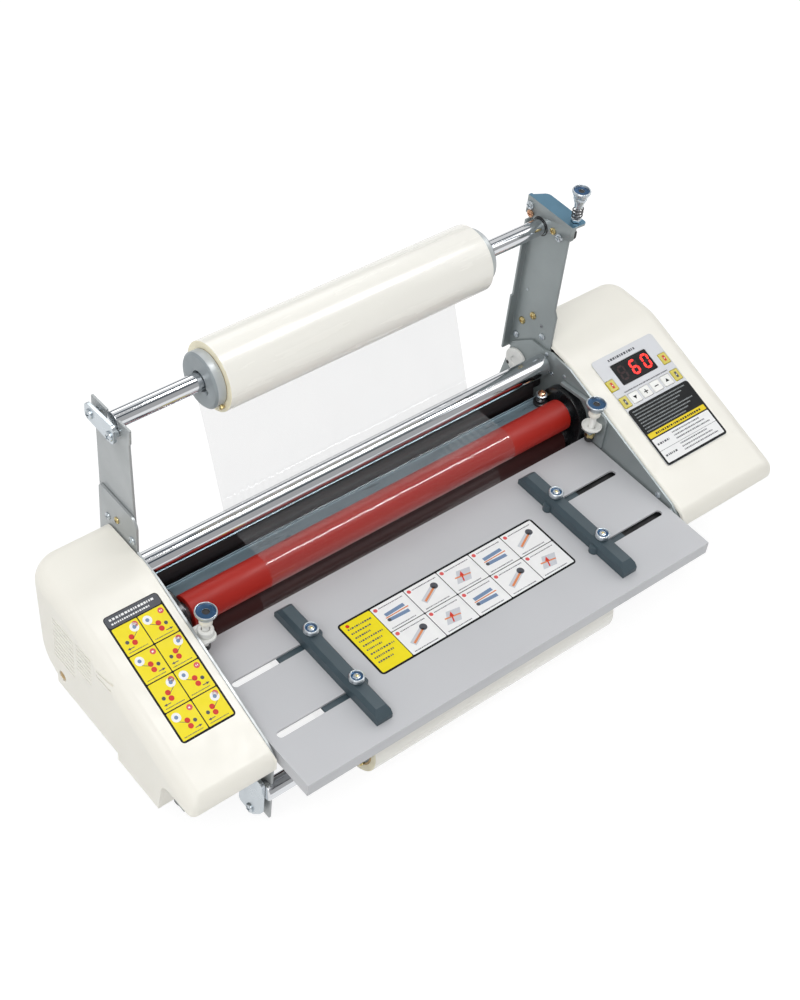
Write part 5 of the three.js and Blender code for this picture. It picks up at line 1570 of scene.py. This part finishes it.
def shield_strip():
    """Lipped strip over the heat shield, between the upper rollers."""
    half = node_box("heat_shield")[1].x
    front, back, low, lip, sheet = 182.2, 197.2, 9, 12, 1
    profile = [
        (front, low), (back, low), (back, lip), (back - 0.9, lip), (back - 0.9, low + sheet),
        (front + 0.9, low + sheet), (front + 0.9, lip), (front, lip),
    ]
    bar("shield_strip", [(-half, y, z) for y, z in profile], (2 * half, 0, 0), SHIELD, 0.3)


def retaining_strip():
    """Narrow leaning strip above the right bearing block."""
    loop = [(FRAME_INNER - 4.1, y, z) for y, z in ((181, 31.9), (181, 35.4), (150, 38.5), (150, 35))]
    bar("retaining_strip", loop, (3.8, 0, 0), PAINT["frame_paint"], 0.4)


def painted_shade_channels():
    """Black channels that close the right guide's slots from below: painted shade, dark where only shade
    shows under the table.
    """
    guide_low = node_box("right_guide")[0]
    start, end, sheet = guide_low.x - 2, 200, 0.8
    floor_z, lip = guide_low.z - 2.1, guide_low.z + 2.2
    loop = [
        (start, floor_z), (end, floor_z), (end, lip), (end - sheet, lip), (end - sheet, floor_z + sheet),
        (start + sheet, floor_z + sheet), (start + sheet, lip), (start, lip),
    ]
    for place in ("front", "back"):
        y = upright_of(f"right_{place}_guide_knob")[1]
        bar(f"painted_shade_channel_{place}", [(x, y - 6, z) for x, z in loop], (0, 12, 0), BLACK, 0.3)


def keepers():
    """Keeper plates with pan screws in place of plain bolt heads."""
    bolts = {"upper_keeper_plate": [(229.6, 155), (255, 156)], "lower_keeper_plate": [(50, -77.5), (57, -43)]}
    for node, spots in bolts.items():
        low, high = node_box(node)
        face = low.x + 3.4
        plate = softened_copy(node, None, 0.4)
        cut_away(plate, [block_tool(low.x - 1, face, low.y - 5, high.y + 5, low.z - 5, high.z + 5)])
        stand_in(plate, node)
        for i, (y, z) in enumerate(spots):
            screw(f"{node}_screw_{i + 1}", (face, y, z), LEFTWARDS, 4, ZINC)


def clamp_bracket():
    """Grey plate whose lower edge slopes both ways, under a brushed flange whose top face is painted blue: a
    painted reflection.
    """
    node = "clamp_bracket"
    low, high = node_box(node)
    plate = softened_copy(node, PAINT["frame_paint"], 0.4)
    front, back, foot = low.y - 3, high.y + 3, low.z - 3
    lowest = (226, 160.8)
    corners = [
        [(front, foot), (226, foot), lowest, (205.3, 166.8), (front, 167.5)],
        [(226, foot), (back, foot), (back, 163.5), lowest],
    ]
    for loop in corners:
        cut_away(plate, [cutter([(low.x - 2, y, z) for y, z in loop], (high.x - low.x + 4, 0, 0))])
    # The flange's top face gets the dark blue zinc: painted reflection.
    plate.data.materials.append(PAINT["painted_reflection_zinc"])
    for face in plate.data.polygons:
        if face.normal.z > 0.9 and local(face.center).z > high.z - 0.5:
            face.material_index = 1
    stand_in(plate, node)
    # A thin black ring round the shaft at the plate's face: painted shade of the bore's gap.
    y, z = axis_of("upper_supply_spin")
    ring = ring_profile(7.4, 8.4, low.x - 0.3, low.x + 0.1)
    settle(turned("clamp_bore_shade_ring", "X", (0, y, z), ring, BLACK, 72, 0.15))


def foot(node):
    x, y, low, high, radius = upright_of(node)
    profile = [(0, low), (radius - 1.2, low), (radius, low + 1.4), (radius - 0.6, high), (0, high)]
    stand_in(turned(node + "_rubber", "Z", (x, y, 0), profile, PAINT["foot_rubber"], 64, 0.5), node)


def sheet_parts():
    """Sheet and block nodes shown as softened copies."""
    # The left upright and side frame get the lighter copy of the frame paint: painted light.
    refined("left_upright", LIT_FRAME_PAINT)
    refined("left_side_frame", LIT_FRAME_PAINT)
    for node in ("base_pan", "rear_cover", "right_upright", "right_side_frame",
                 "feed_table", "left_pressure_bracket", "control_overlay", "power_inlet", "power_switch"):
        refined(node)
    for side in ("left", "right"):
        refined(side + "_bearing_block", PAINT["bearing_black"], 0.8)
        refined(side + "_guide", None, 0.8)
    refined("rear_bar", PAINT["polished_bar"])
    refined("heat_shield", SHIELD)


def bare_nodes():
    """CAD nodes that stay get the material of their slot."""
    for node, made in NODES.items():
        made.data.materials.clear()
        made.data.materials.append(PAINT[SLOTS[node]])
        smooth(made.data, 30)


# ---------- Stage ----------
CAMERA_PLACE = (-667.8, -531.6, 1030.15)
CAMERA_RIGHT = Vector((0.77358, -0.62744, 0.08893))
CAMERA_UP = Vector((0.40841, 0.60092, 0.68709))
CAMERA_LENS = 64.43
MIDDLE = (0, 0, 0.1)  # of the object, in frame metres, like the lamps' places
LAMPS = {
    "key": {"place": (-1.2, -0.75, 2), "target": MIDDLE, "size": (1.4, 1.4), "energy": 24},
    "back": {"place": (0.5, 1.7, 1.6), "target": MIDDLE, "size": (1.8, 0.8), "energy": 6},
    "side": {"place": (1.8, -0.7, 1.2), "target": MIDDLE, "size": (0.8, 1.2), "energy": 6},
    "strip": {"place": (0.9, -0.2, 2), "target": (0.9, -0.2001, 0), "size": (1.3, 0.28), "energy": 30},
}
# Angle in degrees and level of the bands that reflections see. Those under DIM are tinted blue.
BANDS = [
    (0, 0.8), (7, 0.8), (9, 0.06), (20, 0.06), (24, 0.92), (72, 0.92), (77, 0.09), (86, 0.09), (90, 0.68),
    (117, 0.68), (121, 0.07), (130, 0.07), (134, 0.52), (180, 0.52),
]
DIM, BLUE = 0.3, 0.3
FLOOR_SIZE = 6  # metres from the middle to an edge


def camera():
    data = bpy.data.cameras.new("camera")
    data.lens = CAMERA_LENS
    data.sensor_width = 36
    data.clip_start = 0.05
    data.clip_end = 50
    made = bpy.data.objects.new("camera", data)
    back = CAMERA_RIGHT.cross(CAMERA_UP).normalized()
    up = back.cross(CAMERA_RIGHT).normalized()
    turn = Matrix((CAMERA_RIGHT.normalized(), up, back)).transposed().to_4x4()
    made.matrix_world = Matrix.Translation(at(*CAMERA_PLACE)) @ turn
    bpy.context.scene.collection.objects.link(made)
    bpy.context.scene.camera = made


def lamp(name, place, target, size, energy):
    data = bpy.data.lights.new(name, "AREA")
    data.shape = "RECTANGLE"
    data.size, data.size_y = size
    data.energy = energy
    made = bpy.data.objects.new(name, data)
    made.location = Vector(place)
    made.rotation_euler = (Vector(target) - Vector(place)).to_track_quat("-Z", "Y").to_euler()
    bpy.context.scene.collection.objects.link(made)
    return made


def lights():
    """Three soft lamps, and a strip that is only seen in reflections."""
    made = {name: lamp(name, **values) for name, values in LAMPS.items()}
    made["strip"].visible_diffuse = False


def studio():
    """White to the camera. Reflections see bright and dark bands, from the back horizon over to the front."""
    world = bpy.data.worlds.new("studio")
    bpy.context.scene.world = world
    world.use_nodes = True
    nodes, links = world.node_tree.nodes, world.node_tree.links
    parts = new_node(nodes, "SeparateXYZ")
    links.new(new_node(nodes, "TexCoord").outputs["Generated"], parts.inputs[0])
    angle = new_node(nodes, "Math")
    angle.operation = "ARCTAN2"
    links.new(parts.outputs["Z"], angle.inputs[0])
    links.new(parts.outputs["Y"], angle.inputs[1])
    share = new_node(nodes, "MapRange", From_Max=math.pi)
    links.new(angle.outputs[0], share.inputs["Value"])
    ramp = new_node(nodes, "ValToRGB")
    elements = ramp.color_ramp.elements
    while len(elements) < len(BANDS):
        elements.new(0.5)
    for element, (degrees, level) in zip(elements, BANDS):
        blue = BLUE if level < DIM else 0
        element.position = degrees / 180
        element.color = (level * (1 - blue), level, level * (1 + blue), 1)
    links.new(share.outputs["Result"], ramp.inputs["Fac"])
    bands = set_inputs(nodes["Background"], Strength=0.95)
    links.new(ramp.outputs["Color"], bands.inputs["Color"])
    white = new_node(nodes, "Background", Color=(1, 1, 1, 1), Strength=1)
    path = new_node(nodes, "LightPath")
    show_mix(nodes, links, path.outputs["Is Camera Ray"], bands, white, "World Output")


def floor_material():
    """White paper: it bounces light as paper does, and looks white, with a faint shadow, where it is seen."""
    material = bpy.data.materials.new("floor_paper")
    material.use_nodes = True
    nodes, links = material.node_tree.nodes, material.node_tree.links
    paper = set_inputs(nodes["Principled BSDF"], Base_Color=(0.8, 0.8, 0.8, 1), Roughness=0.9)
    seen = new_node(
        nodes, "BsdfPrincipled", Base_Color=(0.22, 0.22, 0.22, 1), Roughness=0.9, Specular_IOR_Level=0,
        Emission_Color=(1, 1, 1, 1), Emission_Strength=0.88,
    )
    path = new_node(nodes, "LightPath")
    share = path.outputs["Is Camera Ray"]
    for ray in ("Is Glossy Ray", "Is Transmission Ray"):
        either = new_node(nodes, "Math")
        either.operation = "MAXIMUM"
        links.new(share, either.inputs[0])
        links.new(path.outputs[ray], either.inputs[1])
        share = either.outputs[0]
    show_mix(nodes, links, share, paper, seen)
    return material


def floor():
    mesh = bpy.data.meshes.new("floor")
    corners = box_loop(-FLOOR_SIZE, FLOOR_SIZE, -FLOOR_SIZE, FLOOR_SIZE, CAD_BOX[0].z)
    mesh.from_pydata(corners, [], [(0, 1, 2, 3)])
    mesh.materials.append(floor_material())
    made = bpy.data.objects.new("floor", mesh)
    bpy.context.scene.collection.objects.link(made)


# ---------- Making ----------
CORNERS = [(side, place) for side in ("left", "right") for place in ("front", "back")]
camera()
lights()
studio()
floor()
bare_nodes()
sheet_parts()
cover("left")
cover("right")
leg_wall()
for make in (roller_sleeve, idler, supply, film_web):
    for level in ("upper", "lower"):
        make(level)
for side, place in CORNERS:
    guide_knob(f"{side}_{place}_guide_knob", body_of(side + "_guide"))
pressure_knob("left")
pressure_collar()
pressure_knob("right")
tension_knob()
for side, place in CORNERS:
    foot(f"{side}_{place}_foot")
frame_screws()
rear_screws()
nylon_disc()
roller_adjuster()
shield_strip()
retaining_strip()
painted_shade_channels()
keepers()
clamp_bracket()
right_pressure_mount()
cover_boss()
left_label()
table_label()
panel_print()
display_digits()
key_caps()

bpy.context.scene.view_settings.view_transform = "Standard"
